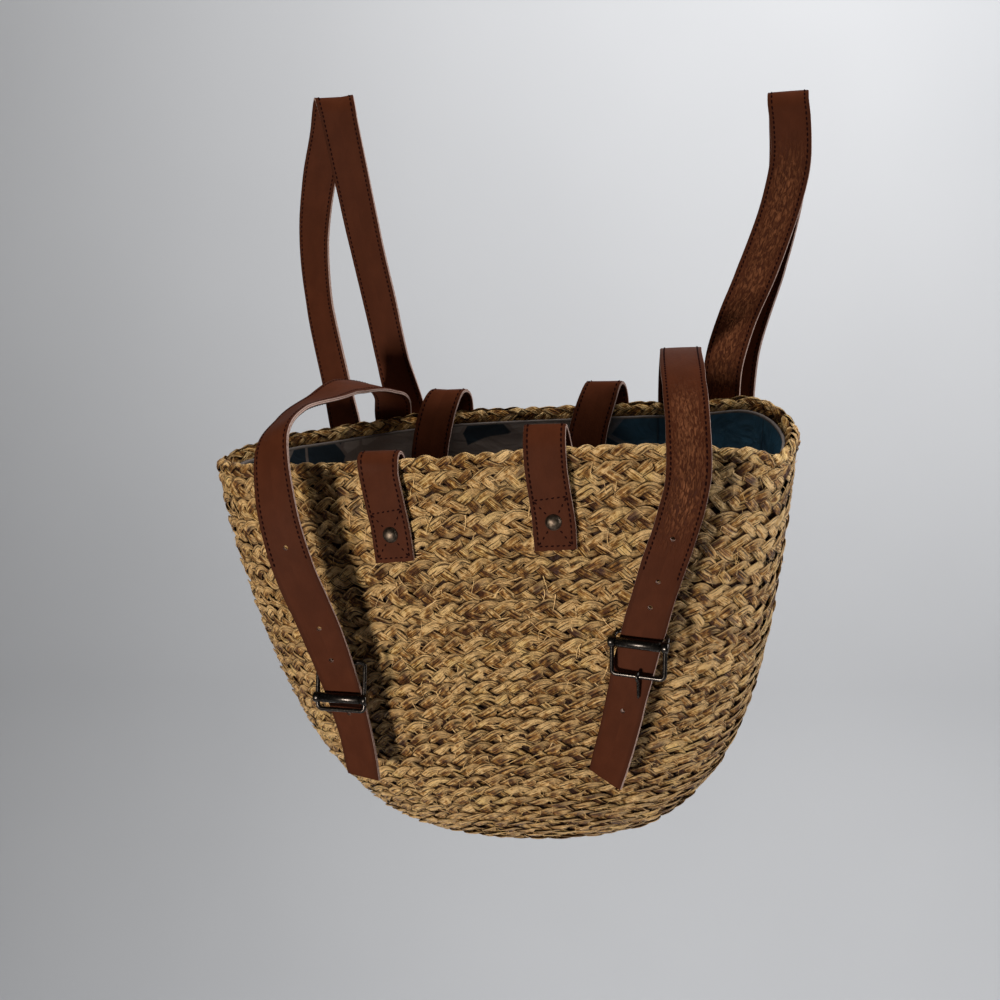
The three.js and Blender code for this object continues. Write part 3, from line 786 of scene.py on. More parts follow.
def strap_ribbon(shell, strap, grained, rng):
    """The strap itself: its section carried along the route.

    The section's breadth is stretched to the strap's width, its edges wander a little, and the
    faces cup slightly across the strap.
    """
    distance = np.linspace(0, strap.length, int(strap.length / STRAP_STEP) + 1)
    origin, _, across, out = strap.frames(distance)
    inset, height, raw = STRAP_SECTION.T
    inset = np.where(inset == MIDDLE_INSET, strap.width / 2, inset)
    side = np.concatenate([strap.width / 2 - inset, -(strap.width / 2 - inset)[-2:0:-1]])
    level = np.concatenate([height, height[-2:0:-1]])
    raw = np.concatenate([raw, raw[-2:0:-1]])
    part = side / strap.width * 2

    def uneven(knots, low, high):
        """Random knots along the strap, joined by straight lines."""
        return np.interp(distance, np.linspace(0, strap.length, knots), rng.uniform(low, high, knots))

    wobble = uneven(*WOBBLE)
    cup = uneven(*CUP)
    breadth = side + wobble[:, None] * part
    raised = level - cup[:, None] * (part ** 2 - 0.3)
    points = origin[:, None] + across[:, None] * breadth[..., None] + out[:, None] * raised[..., None]
    start, end = grained
    begins = ramp_up(distance, start - GRAIN_FADES_OUT, start + GRAIN_FADES_IN)
    grain = begins * (1 - ramp_up(distance, end - GRAIN_FADES_IN, end + GRAIN_FADES_OUT))
    # The worked grain fades toward the strap's edges, so that its painted highlight lies in a band down the
    # middle.
    grain = grain[:, None] * (1 - 0.85 * part ** 2)
    bend = ramp_up(strap.bend(distance), *BENDS)
    # Painted shade on the margins outside the stitching.
    margin = ramp_up(np.abs(part), *SHADED_MARGIN)
    round_way = np.concatenate([[0], np.cumsum(np.hypot(np.diff(side), np.diff(level)))])
    round_way = np.append(round_way, round_way[-1] + LAST_STRETCH)
    uv = np.stack(np.meshgrid(distance / UV_UNIT, round_way / UV_UNIT, indexing="ij"), -1)
    shift = rng.uniform(0, 50)
    values = {"raw": raw, "grain": grain, "bend": bend[:, None], "margin": margin}
    shell.add(points, uv + shift, wrap=(False, True), **values)
    half = len(STRAP_SECTION)
    for row, turned in ((0, True), (-1, False)):
        outer = points[row, :half]
        inner = np.vstack([points[row, :1], points[row, :half - 1:-1], points[row, half - 1:half]])
        shell.add(np.stack([outer, inner]), flip=turned, raw=0.9)


def stitch_run(shell, strap, path, face, leather):
    """Stitches along a path of distance and breadth on a strap's face.

    Each stitch is a low half tube with rounded ends that dip into the leather.
    """
    path = np.array(path, float)
    arc = run_along(path)
    count = int(arc[-1] / (leather.stitch_pitch / MM))
    middle = (np.arange(count) + 0.5) * arc[-1] / count

    def read(place):
        return np.stack([np.interp(place, arc, path[:, k]) for k in (0, 1)])

    distance, breadth = read(middle)
    forth, over = read(middle + 0.4) - read(middle - 0.4)
    heading = np.arctan2(over, forth)[:, None, None] + STITCH_SLANT
    t = np.linspace(-1, 1, 5)
    around = np.linspace(0, pi, 4)
    radius = leather.thread / MM / 2 * np.sqrt(1 - 0.85 * t ** 4)
    reach = leather.stitch_length / MM / 2 * t[:, None] + 0 * around
    aside = radius[:, None] * np.cos(around)
    rise = radius[:, None] * np.sin(around) - STITCH_DIP * (t ** 2)[:, None]
    forward = reach * np.cos(heading) - aside * np.sin(heading)
    sideways = reach * np.sin(heading) + aside * np.cos(heading)
    origin, _, across, out = strap.frames(distance[:, None, None] + forward)
    level = face * (HALF_STRAP - STITCH_SINK + rise)
    points = origin + across * (breadth[:, None, None] + sideways)[..., None] + out * level[..., None]
    for k in range(count):
        shell.add(points[k], flip=face < 0)


def edge_lines(strap, first, last):
    """Stitch paths along both edges between two distances."""
    breadth = strap.width / 2 - STITCH_INSET
    return [[(first, side * breadth), (last, side * breadth)] for side in (-1, 1)]


def box_lines(strap, first, last, cross):
    """A stitched box between two distances, with a cross inside it where asked."""
    breadth = strap.width / 2 - STITCH_INSET
    lines = [[(end, -breadth), (end, breadth)] for end in (first, last)]
    if cross:
        centre = np.array([(first + last) / 2, 0.0])
        room = RIVET_RADIUS + RIVET_ROOM
        for side in (-1, 1):
            for end in (first, last):
                corner = np.array([end, side * breadth])
                lines.append([tuple(centre + unit(corner - centre) * room), tuple(corner)])
    return lines


def punch(piece, strap, distances, raw_look):
    """Holes through a strap: round bars cut out of it by a Boolean, whose walls show raw leather."""
    cutter = Shell()
    turn = full_turn(20)[:, None]
    for distance in distances:
        origin, tangent, across, out = strap.frames(np.array(distance, float))
        ring = origin + HOLE_RADIUS * (np.cos(turn) * across + np.sin(turn) * tangent)
        cap = np.broadcast_to(origin, ring.shape)
        through = HOLE_BAR_HALF * out
        bar = np.stack([cap - through, ring - through, ring + through, cap + through])
        cutter.add(bar, wrap=(False, True), flip=True)
    bars = cutter.build("hole_bars", raw_look, None)
    weld = bars.modifiers.new("Weld", "WELD")
    weld.merge_threshold = 1e-6
    cut = piece.modifiers.new("Holes", "BOOLEAN")
    cut.operation = "DIFFERENCE"
    cut.solver = "EXACT"
    cut.material_mode = "TRANSFER"
    cut.object = bars
    graph = bpy.context.evaluated_depsgraph_get()
    whole = piece.data
    piece.data = bpy.data.meshes.new_from_object(piece.evaluated_get(graph))
    piece.modifiers.clear()
    name = whole.name
    bpy.data.meshes.remove(whole)
    piece.data.name = name
    crisp(piece, HOLE_CREASE)
    spare = bars.data
    bpy.data.objects.remove(bars)
    bpy.data.meshes.remove(spare)


# Metal: the shoulder at each end of a roller, as distance outward and radius, and a rivet's dome, as
# height and part of the rivet's radius.
SHOULDER_PROFILE = (
    (-2.9, 0), (-2.8, 1.5), (-2.2, 2.7), (-1.0, 3.4), (0.8, 3.5), (1.9, 3.2), (2.3, 2.4), (2.3, 0),
)
RIVET_DOME = (
    (0, 0), (0, 0.99), (0.3, 1.03), (0.62, 1.0), (0.78, 0.93), (0.9, 0.9), (1.45, 0.86), (2.05, 0.72),
    (2.5, 0.5), (2.75, 0.25), (2.8, 0),
)
SHOULDER_REACH = 2.6
BARREL_END = 2.5
BARREL_BEVEL = 0.5
WIRE_STEP = 5.5


def lathe(profile, sides):
    """A profile of distance along an axis and radius, turned about the axis: along, cos and sin."""
    along, radius = np.array(profile, float).T
    turn = full_turn(sides)
    return np.stack([
        np.broadcast_to(along[:, None], (len(along), sides)),
        radius[:, None] * np.cos(turn),
        radius[:, None] * np.sin(turn),
    ], -1)


def rounded(points, cuts):
    """A closed line after Chaikin's corner cutting.

    Each cut puts two points on every side, a quarter and three quarters along it, in place of the
    line's corners.
    """
    for _ in range(cuts):
        after = np.roll(points, -1, 0)
        cut = [0.75 * points + 0.25 * after, 0.25 * points + 0.75 * after]
        points = np.stack(cut, 1).reshape(-1, 3)
    return points


def tube(path, radius, reference, closed, sides=12):
    """A round section carried along a path: path + side * cos + second * sin."""
    step = np.roll(path, -1, 0) - np.roll(path, 1, 0) if closed else np.gradient(path, axis=0)
    tangent = unit(step)
    side = unit(np.cross(tangent, reference))
    second = np.cross(side, tangent)
    turn = full_turn(sides)[:, None]
    radius = np.broadcast_to(radius, len(path))[:, None, None]
    ring = side[:, None] * np.cos(turn) + second[:, None] * np.sin(turn)
    return path[:, None] + radius * ring


def densify(corners, spacing):
    """Points along the straight sides of a closed line, in even steps of at least a spacing."""
    corners = np.array(corners, float)
    runs = []
    for start, end in zip(corners, np.roll(corners, -1, 0)):
        count = max(int(np.linalg.norm(end - start) / spacing), 1)
        runs.append(start + (end - start) * np.linspace(0, 1, count, endpoint=False)[:, None])
    return np.vstack(runs)


class Seat:
    """A place on a strap for hardware: local points become points in the bag's frame."""

    def __init__(self, strap, distance, lift, turn=0.0):
        origin, tangent, across, out = strap.frames(np.array(distance, float))
        self.origin = origin + out * lift
        c, s = cos(radians(turn)), sin(radians(turn))
        self.axes = np.stack([across * c - tangent * s, -across * s - tangent * c, out])

    def place(self, points):
        """Local x across the strap, y back along it and z out of it, from the seat's origin."""
        return self.origin + points @ self.axes


def buckle_frame(shell, seat, bars):
    """The buckle's wire, bent round its end and far bars, with the roller between its shoulders."""
    x = SIDE_ROD_X
    corners = [(side * x, *bars[name]) for side, name in (
        (-1, "end"), (1, "end"), (1, "roller"), (1, "far"), (-1, "far"), (-1, "roller"))]
    path = rounded(densify(corners, WIRE_STEP), 3)
    chord = np.array([0, bars["far"][0] - bars["end"][0], bars["far"][1] - bars["end"][1]])
    reference = np.cross([1.0, 0, 0], unit(chord))
    shell.add(seat.place(tube(path, ROD_RADIUS, reference, True)), wrap=(True, True), flip=True)
    offset = np.array([0, *bars["roller"]])
    for side in (-1, 1):
        ball = lathe([(side * along, radius) for along, radius in SHOULDER_PROFILE], 24)
        shell.add(seat.place(ball + offset + (side * x, 0, 0)), wrap=(False, True), flip=side > 0)
    half = x - SHOULDER_REACH
    flat = half - BARREL_BEVEL
    barrel = [(-half, 0), (-half, BARREL_END), (-flat, ROLLER_RADIUS), (flat, ROLLER_RADIUS),
              (half, BARREL_END), (half, 0)]
    shell.add(seat.place(lathe(barrel, 28) + offset), wrap=(False, True))


def buckle_prong(shell, seat, bars):
    """The prong: a loop round the far bar and a tapered pin that points away from the roller."""
    far, roller = bars["far"], bars["roller"]
    away = np.sign(far[0] - roller[0])
    radius = ROD_RADIUS + SEAT_GAP + PRONG_RADIUS
    turn = full_turn(28)
    loop = np.stack([0 * turn, far[0] + radius * np.cos(turn), far[1] + radius * np.sin(turn)], -1)
    shell.add(seat.place(tube(loop, PRONG_RADIUS, (1.0, 0, 0), True)), wrap=(True, True), flip=True)
    root = np.array([0, far[0] + away * radius, far[1]])
    tip = root + (0, away * PRONG_LENGTH, -np.sign(far[1]) * PRONG_DIP)
    t = np.array([0, 0.2, 0.5, 0.8, 0.94, 0.99, 1.0])
    thickness = PRONG_RADIUS * np.array([1.0, 1.0, 0.95, 0.85, 0.7, 0.4, 0.0])
    pin = tube(root + (tip - root) * t[:, None], thickness, (1.0, 0, 0), False)
    shell.add(seat.place(pin), wrap=(False, True), flip=True)


def rivet(shell, seat):
    """A rivet's cap: a low dome over a thin rolled rim, turned about the tab's outer direction."""
    turned = lathe([(along, part * RIVET_RADIUS) for along, part in RIVET_DOME], 40)
    shell.add(seat.place(turned[..., [1, 2, 0]]), wrap=(False, True))


# Lining: columns round it, its lowest and highest rows on the straw's skin, the depths of its two sides
# inside that skin, the rows above and depths of its rolled hem, where the folds start and are full, and
# where the hem's colour ends.
LINING_COLUMNS = 240
LOW_ROW = 0.97
HEM_ROW = 0.004
OUTER_DEPTH = 7.5
INNER_DEPTH = 9.6
HEM_RISE = (0.004, 0.006, 0.004)
HEM_DEPTHS = (7.7, 8.7, 9.6)
FOLDS_START = 0.02
FOLDS_FULL = 0.12
HEM_ENDS = (0.0046, 0.0056)

# The slack folds' waves: how many go round, and how far each one slants.
FOLD_WAVES = ((7, 5.0), (11, -8.0), (17, 11.0), (23, -6.0))


def lining_shell(shell, skin, lining, rng):
    """The padded lining: a wall inside the straw, up over a rolled hem and down again.

    Both sides follow the straw's skin, moved inward. The inner side has slack folds: a sum of
    slanted sine waves that fade toward the hem. Each side's floor closes on a short line.
    """
    turn = np.arange(LINING_COLUMNS) / LINING_COLUMNS
    outer_rows = np.linspace(LOW_ROW, HEM_ROW, 60)
    hem_rows = HEM_ROW - np.array(HEM_RISE)
    inner_rows = np.concatenate([
        np.linspace(HEM_ROW, FOLDS_START, 14)[:-1], np.linspace(FOLDS_START, LOW_ROW, 97),
    ])
    rows = np.concatenate([outer_rows, hem_rows, inner_rows])
    plain = len(outer_rows) + len(hem_rows)
    depth = np.concatenate([
        np.full(len(outer_rows), OUTER_DEPTH), HEM_DEPTHS, np.full(len(inner_rows), INNER_DEPTH),
    ])
    inside = np.concatenate([np.zeros(plain), ramp_up(inner_rows, FOLDS_START, FOLDS_FULL)])[:, None]
    angle = 2 * pi * turn[None, :]
    slack = np.zeros((len(rows), len(turn)))
    for count, slant in FOLD_WAVES:
        phase, size = rng.uniform(0, 2 * pi), rng.uniform(0.5, 1.0)
        slack += size * np.sin(count * angle + slant * rows[:, None] * 6 + phase) / (count / 9)
    fold = np.clip(slack, -1.5, 1.5) * lining.slack / MM * inside * 0.6
    points, normals = skin.at(rows[:, None], turn[None, :])
    points = points - normals * (depth[:, None] + np.maximum(fold + 0.5 * inside, -0.1))[..., None]
    down = rows * skin.reach.mean() / 100
    uv = np.stack(np.meshgrid(down, np.linspace(0, 1, LINING_COLUMNS + 1) * 9, indexing="ij"), -1)
    hemmed = np.concatenate([np.ones(plain), 1 - ramp_up(inner_rows, *HEM_ENDS)])
    shell.add(points, uv, wrap=(False, True), flip=True, hem=hemmed[:, None])
    for ring, flip in ((points[-1], True), (points[0], False)):
        line = ring.mean(0) + (ring - ring.mean(0)) * (0.8, 0, 0)
        shell.add(np.stack([ring, line]), np.stack([uv[-1], uv[-1]]), wrap=(False, True), flip=flip)


# Materials

class Value:
    """A socket that takes part in sums: each operator adds a Math node to its tree."""

    def __init__(self, look, socket):
        self.look = look
        self.socket = socket

    def math(self, operation, *values):
        """A Math node on values and numbers."""
        return self.look.node("ShaderNodeMath", {"operation": operation}, dict(enumerate(values)))

    def __add__(self, other):
        return self.math("ADD", self, other)

    __radd__ = __add__

    def __sub__(self, other):
        return self.math("SUBTRACT", self, other)

    def __rsub__(self, other):
        return self.math("SUBTRACT", other, self)

    def __mul__(self, other):
        return self.math("MULTIPLY", self, other)

    __rmul__ = __mul__

    def between(self, low, high):
        """0 at low, 1 at high and a smooth step between."""
        return self.look.node(
            "ShaderNodeMapRange",
            {"interpolation_type": "SMOOTHSTEP"},
            {"Value": self, "From Min": low, "From Max": high},
        )


class Look:
    """A material and its Principled shader, with one method that makes any node."""

    def __init__(self, name, **constants):
        self.material = bpy.data.materials.new(name)
        self.material.use_nodes = True
        self.tree = self.material.node_tree
        self.shader = self.tree.nodes["Principled BSDF"]
        for key, value in constants.items():
            self.shader.inputs[key.replace("_", " ").title().replace("Ior", "IOR")].default_value = value

    def node(self, kind, settings=None, sockets=None, output=0):
        """Makes a node, sets its settings and then its sockets, and gives back one output."""
        made = self.tree.nodes.new(kind)
        for key, value in (settings or {}).items():
            if key == "stops":
                self.set_stops(made.color_ramp, value)
            else:
                setattr(made, key, value)
        for key, value in (sockets or {}).items():
            self.feed(made.inputs[key], value)
        return Value(self, made.outputs[output])

    def set_stops(self, ramp, stops):
        """Gives a colour ramp its stops: positions and colours."""
        while len(ramp.elements) < len(stops):
            ramp.elements.new(0.5)
        for element, (position, colour) in zip(ramp.elements, stops):
            element.position = position
            element.color = opaque(colour)

    def feed(self, socket, value):
        """Links a value to a socket, or sets a number or colour on it."""
        if isinstance(value, Value):
            self.tree.links.new(value.socket, socket)
        else:
            socket.default_value = value

    def attribute(self, name):
        """A named value that is stored at the piece's points."""
        return self.node("ShaderNodeAttribute", {"attribute_name": name}, output="Fac")

    def lay(self, *stretch):
        """The piece's own UV, stretched by three factors."""
        uv = self.node("ShaderNodeUVMap", {"uv_map": "Lay"})
        return self.stretched(uv, stretch)

    def space(self, *stretch):
        """Object coordinates, stretched by three factors."""
        return self.stretched(self.node("ShaderNodeTexCoord", output="Object"), stretch)

    def stretched(self, vector, stretch):
        """A vector times three factors."""
        return self.node("ShaderNodeVectorMath", {"operation": "MULTIPLY"}, {0: vector, 1: stretch})

    def noise(self, vector, scale, detail=2.0, distortion=0.0, output=0):
        """Soft noise at a place."""
        return self.node(
            "ShaderNodeTexNoise", None,
            {"Vector": vector, "Scale": scale, "Detail": detail, "Distortion": distortion}, output,
        )

    def mix(self, factor, low, high, blend="MIX"):
        """A colour that goes from low to high as the factor goes from 0 to 1."""
        sockets = {0: factor}
        for key, colour in ((6, low), (7, high)):
            sockets[key] = colour if isinstance(colour, Value) else opaque(colour)
        return self.node("ShaderNodeMix", {"data_type": "RGBA", "blend_type": blend}, sockets, output=2)

    def ramp(self, factor, *stops):
        """A colour read from stops by a factor."""
        return self.node("ShaderNodeValToRGB", {"stops": stops}, {0: factor})

    def finish(self, colour, roughness, height, strength, distance):
        """Feeds the shader's colour, roughness and bump."""
        bump = self.node(
            "ShaderNodeBump", None, {"Height": height, "Strength": strength, "Distance": distance},
        )
        self.feed(self.shader.inputs["Base Color"], colour)
        self.feed(self.shader.inputs["Roughness"], roughness)
        self.feed(self.shader.inputs["Normal"], bump)
        return self.material


def opaque(colour):
    """A colour with full alpha."""
    return (*tuple(colour)[:3], 1.0)


def straw_look(straw):
    """Plaited straw: fibre lines along each strand, tones that change from strand to strand, a painted
    highlight on folded edges, and painted shade where a strand goes under its neighbours or the row below
    and along its edges."""
    look = Look("plaited_straw", specular_ior_level=0.3)
    tone, depth, edge = (look.attribute(name) for name in ("tone", "depth", "edge"))
    fine = look.noise(look.lay(1.1, 11.0, 1.0), 1.0, 3.0)
    broad = look.noise(look.lay(0.8, 3.6, 1.0), 1.0, 2.0, 0.4)
    patch = look.noise(look.space(1, 1, 1), 16.0, 2.0)
    blotch = look.noise(look.space(1, 1, 1), 280.0, 2.0)
    shade = tone * 0.42 + (fine - 0.5) * 1.9 + (broad - 0.5) * 1.6 + (blotch - 0.5) * 1.9
    shade = shade + (patch - 0.5) * 0.5 + 0.57
    colour = look.ramp(
        shade,
        (0.06, straw.brown), (0.37, straw.golden), (0.62, straw.pale), (0.86, straw.bleached_and_highlight),
    )
    hue = look.noise(look.space(1, 1, 1), 60.0, 1.0).between(0.45, 0.7)
    colour = look.mix(hue * 0.25, colour, look.mix(0.75, colour, straw.olive, "MULTIPLY"))
    stain = look.noise(look.lay(0.35, 0.8, 1.0), 1.0, 1.0).between(0.68, 0.78)
    colour = look.mix(stain * 0.8, colour, straw.stain)
    # Painted highlight on the folded edges, only where no shade is painted.
    colour = look.mix(edge * depth.between(0.5, 0.8) * 0.8, colour, straw.bleached_and_highlight)
    split = look.noise(look.lay(0.6, 7.0, 1.0), 1.0, 2.0).between(0.35, 0.42)
    colour = look.mix(0.8 - split * 0.8, colour, straw.gap)
    # Painted shade from the depth value: gaps, dips under neighbours, overlaps of the row below, strand
    # edges and the backing.
    colour = look.mix(1 - depth.between(0.08, 0.92), colour, straw.gap)
    height = fine * 0.7 + broad + blotch * 0.7 + split * 0.5
    roughness = 0.85 - fine * 0.3 - depth * 0.25
    return look.finish(colour, roughness, height, 1.0, 0.0034)


def leather_look(leather):
    """Brown leather: fine pores, a coarse crinkled grain where the strap is worked, with painted shade in
    its valleys and a painted highlight on its ridges down the middle, painted shade on the margins,
    glossier on bends, with the raw cut edges of its two layers."""
    look = Look("strap_leather", specular_ior_level=0.07)
    raw, grain, bend, margin = (look.attribute(name) for name in ("raw", "grain", "bend", "margin"))
    pores = look.node(
        "ShaderNodeTexVoronoi", {"feature": "SMOOTH_F1"}, {"Vector": look.lay(1, 1, 1), "Scale": 11.0},
    )
    pebble = look.noise(look.lay(0.5, 1.5, 1.0), 5.0, 2.0, 0.9)
    crinkle = pebble.between(0.36, 0.70)
    worn = look.noise(look.lay(0.35, 0.45, 1.0), 2.0, 3.0)
    soft = look.noise(look.space(1, 1, 1), 26.0, 2.0)
    colour = look.mix(worn.between(0.3, 0.75), leather.face, leather.warm)
    colour = look.mix((soft - 0.5) * 0.4 + 0.08, colour, leather.shade)
    # Painted shade in the valleys of the worked grain.
    colour = look.mix(grain * (1 - crinkle) * 0.5, colour, leather.shade)
    # Painted highlight on the grain's ridges, strongest down the strap's middle.
    colour = look.mix(grain * grain * crinkle * 0.8, colour, leather.lit)
    # Painted shade on the strap's margins, outside the stitching.
    colour = look.mix(margin * 0.5, colour, leather.shade)
    fibres = look.noise(look.lay(2.5, 18.0, 1.0), 2.0, 2.0).between(0.3, 0.7)
    colour = look.mix(raw.between(0.25, 0.75), colour, look.mix(fibres, leather.edge, leather.edge_dark))
    height = pores * 0.06 + crinkle * (grain * 1.2 + 0.05) + worn * 0.08
    roughness = 0.66 - grain * 0.08 - bend * 0.06 + (pebble - 0.5) * 0.1 + raw * 0.2
    return look.finish(colour, roughness, height, 0.7, 0.0011)


def raw_leather_look(leather):
    """The raw wall of a punched hole."""
    look = Look("raw_leather", specular_ior_level=0.3)
    fibre = look.noise(look.space(1, 1, 1), 900.0, 2.0)
    colour = look.mix(fibre, leather.edge_dark, leather.edge)
    return look.finish(colour, 0.85 - fibre * 0.1, fibre, 0.3, 0.0004)


def thread_look(leather):
    """Waxed sewing thread with a fine twist."""
    look = Look("thread", specular_ior_level=0.04)
    twist = look.noise(look.space(1, 1, 1), 1600.0, 1.0)
    colour = look.mix(twist.between(0.3, 0.7), leather.stitch, leather.stitch_light)
    return look.finish(colour, 0.5 + twist * 0.2, twist, 0.4, 0.0003)


def lining_look(lining):
    """Coated lining cloth: broad leaf shapes on a warm grey ground, plain on its floor and teal at one
    end, with upright seams, a grey hem and a gloss that breaks over small creases."""
    look = Look("printed_lining", specular_ior_level=0.3, coat_roughness=0.25)
    hem = look.attribute("hem")
    crease = look.noise(look.lay(3.0, 2.0, 1.0), 2.4, 4.0, 0.8)
    sway = look.stretched(look.noise(look.lay(1, 1, 1), 1.6, output="Color"), (0.55, 0.55, 0))
    bent = look.node("ShaderNodeVectorMath", {"operation": "ADD"}, {0: look.lay(2.2, 3.1, 1.0), 1: sway})
    cells = {"Vector": bent, "Scale": 1.7, "Randomness": 0.9}
    leaf = look.node(
        "ShaderNodeTexVoronoi", {"feature": "DISTANCE_TO_EDGE", "voronoi_dimensions": "2D"}, cells,
    ).between(0.03, 0.08)
    tint = look.node("ShaderNodeTexVoronoi", {"feature": "F1", "voronoi_dimensions": "2D"}, cells, "Color")
    pick = look.node("ShaderNodeSeparateColor", None, {0: tint})
    ground = look.mix(crease, lining.ground, lining.ground_dark)
    down = look.node("ShaderNodeSeparateXYZ", None, {0: look.lay(1, 1, 1)}, "X")
    wall = 1 - down.between(1.9, 2.3)
    colour = look.mix(leaf * wall * pick.between(0.66, 0.70), ground, lining.leaf)
    colour = look.mix(leaf * wall * (1 - pick.between(0.14, 0.18)), colour, lining.pale)
    x = look.node("ShaderNodeSeparateXYZ", None, {0: look.space(1, 1, 1)})
    colour = look.mix(x.between(0.02, 0.06), colour, look.mix(crease, lining.teal, lining.leaf))
    turn = look.node("ShaderNodeSeparateXYZ", None, {0: look.lay(1, 1, 1)}, "Y")
    seam = turn.math("PINGPONG", turn + 0.3, 0.5).between(0.0, 0.012)
    colour = look.mix((1 - seam) * wall * 0.7, colour, lining.leaf)
    colour = look.mix(hem, colour, lining.hem)
    look.feed(look.shader.inputs["Coat Weight"], 0.08 - hem * 0.08)
    return look.finish(colour, 0.36 + crease * 0.2 + hem * 0.3, crease + seam * 0.5, 0.35, 0.004)


def metal_look(metal):
    """Gunmetal plating: dark, polished, with faint smears and paler rubbed spots."""
    look = Look("gunmetal", metallic=1.0, specular_ior_level=0.5)
    smear = look.noise(look.space(1, 1, 3), 260.0, 3.0)
    rubbed = look.noise(look.space(1, 1, 1), 900.0, 2.0).between(0.52, 0.75)
    colour = look.mix(rubbed * 0.55, metal.colour, metal.rubbed)
    return look.finish(colour, metal.roughness + smear * 0.16, smear, 0.05, 0.0004)


def rivet_look(metal):
    """Antique plating of the rivets: paler and less polished than the buckles."""
    look = Look("antique_metal", metallic=1.0)
    worn = look.noise(look.space(1, 1, 1), 420.0, 3.0)
    colour = look.mix(worn.between(0.35, 0.65), metal.rivet_dark, metal.rivet)
    return look.finish(colour, 0.38 + worn * 0.15, worn, 0.08, 0.0006)


def backdrop_look(stage):
    """Plain pale backdrop with a very faint unevenness."""
    look = Look("backdrop", specular_ior_level=0.1)
    mottle = look.noise(look.space(1, 1, 1), 1.2, 2.0)
    colour = look.mix(mottle, stage.backdrop, stage.backdrop_shade)
    return look.finish(colour, 0.9 + mottle * 0.05, mottle, 0.02, 0.01)


# Settings

def colour_of(name, description, default):
    """A colour setting."""
    return FloatVectorProperty(
        name=name, description=description, default=default, subtype="COLOR", min=0, max=1,
    )


def length_of(name, description, default):
    """A length setting, in metres."""
    return FloatProperty(name=name, description=description, default=default, unit="LENGTH", precision=4)


def count_of(name, description, default):
    """A whole number setting."""
    return IntProperty(name=name, description=description, default=default)


def angle_of(name, description, default):
    """An angle setting, whose default is given in degrees."""
    return FloatProperty(name=name, description=description, default=radians(default), subtype="ANGLE")


def power_of(name, description, default):
    """A light's power setting, in watts."""
    return FloatProperty(name=name, description=description, default=default, unit="POWER")


def factor_of(name, description, default):
    """A setting from 0 to 1."""
    return FloatProperty(
        name=name, description=description, default=default, subtype="FACTOR", min=0, max=1,
    )


class StrawSettings(bpy.types.PropertyGroup):
    rows: count_of("Rows", "Rows of plait from the rim to the middle of the base", 33)
    tall_row: length_of("Upper rows", "Height that shows of the rows under the rim", 0.0145)
    low_row: length_of("Lower rows", "Height that shows of the rows further down", 0.0086)
    braid: length_of("Braid", "Height of a whole row, with what lies under the row below", 0.0160)
    repeat: length_of("Repeat", "Length of row after which a strand repeats its weave", 0.0366)
    thickness: length_of("Thickness", "Thickness of a strand", 0.0009)
    weave: length_of("Weave", "Rise and fall of a strand over and under its neighbours", 0.00075)
    pleat: length_of("Pleat", "Depth of the pleats along a strand", 0.00028)
    sink: length_of("Sink", "Depth of the plait's middle under the bag's outline", 0.0019)
    fibres: count_of("Loose fibres", "Stray fibres on the whole bag", 2600)
    seed: count_of("Seed", "Picks the plait's irregularities", 7)
    brown: colour_of("Brown", "Darkest strands", (0.090, 0.030, 0.010))
    golden: colour_of("Golden", "Most strands", (0.300, 0.130, 0.032))
    pale: colour_of("Pale", "Lighter strands", (0.535, 0.268, 0.072))
    # Bleached fibres at the top of the tone ramp, and also the painted highlight on folded edges.
    bleached_and_highlight: colour_of("Bleached", "Folds and bleached fibres", (1.0, 0.650, 0.290))
    olive: colour_of("Olive", "Tint of the greener strands", (0.850, 1.0, 0.400))
    stain: colour_of("Stain", "Dark purplish spots on some strands", (0.085, 0.040, 0.034))
    # Painted shade: the colour of gaps, dips under neighbours, overlaps of the row below, strand edges and
    # the backing; it also colours the dark splits along strands.
    gap: colour_of("Gap", "Deep gaps between strands", (0.026, 0.007, 0.003))


class LeatherSettings(bpy.types.PropertyGroup):
    stitch_pitch: length_of("Stitch pitch", "Distance from stitch to stitch", 0.0032)
    stitch_length: length_of("Stitch length", "Length of a stitch that shows", 0.0022)
    thread: length_of("Thread", "Thickness of the thread", 0.00112)
    face: colour_of("Face", "Leather's outer face", (0.080, 0.0216, 0.0090))
    warm: colour_of("Warm", "Warmer areas of the face", (0.097, 0.0264, 0.0110))
    # Painted highlight: the colour put on the ridges of the worked grain.
    lit: colour_of("Worked", "Raised grain where the leather is worked", (0.290, 0.108, 0.047))
    # Darker colour: random darker areas of the face, and painted shade in the grain's valleys and on the
    # margins.
    shade: colour_of("Shade", "Darker areas of the face", (0.046, 0.014, 0.007))
    edge: colour_of("Edge", "Raw edge of the layers", (0.640, 0.480, 0.410))
    edge_dark: colour_of("Edge shade", "Darker fibres of the raw edge", (0.330, 0.190, 0.150))
    stitch: colour_of("Stitch", "Sewing thread", (0.010, 0.002, 0.002))
    stitch_light: colour_of("Stitch light", "Lighter twist of the thread", (0.022, 0.005, 0.004))


class LiningSettings(bpy.types.PropertyGroup):
    slack: length_of("Slack", "Depth of the lining's slack folds", 0.0016)
    ground: colour_of("Ground", "Print's warm grey ground", (0.380, 0.310, 0.270))
    ground_dark: colour_of("Ground shade", "Darker areas of the ground", (0.190, 0.156, 0.136))
    leaf: colour_of("Leaf", "Dark teal leaf shapes", (0.028, 0.046, 0.062))
    pale: colour_of("Pale leaf", "Lighter leaf shapes", (0.400, 0.340, 0.300))
    teal: colour_of("Teal", "Plain teal end", (0.100, 0.300, 0.460))
    hem: colour_of("Hem", "Grey rolled hem", (0.190, 0.158, 0.140))


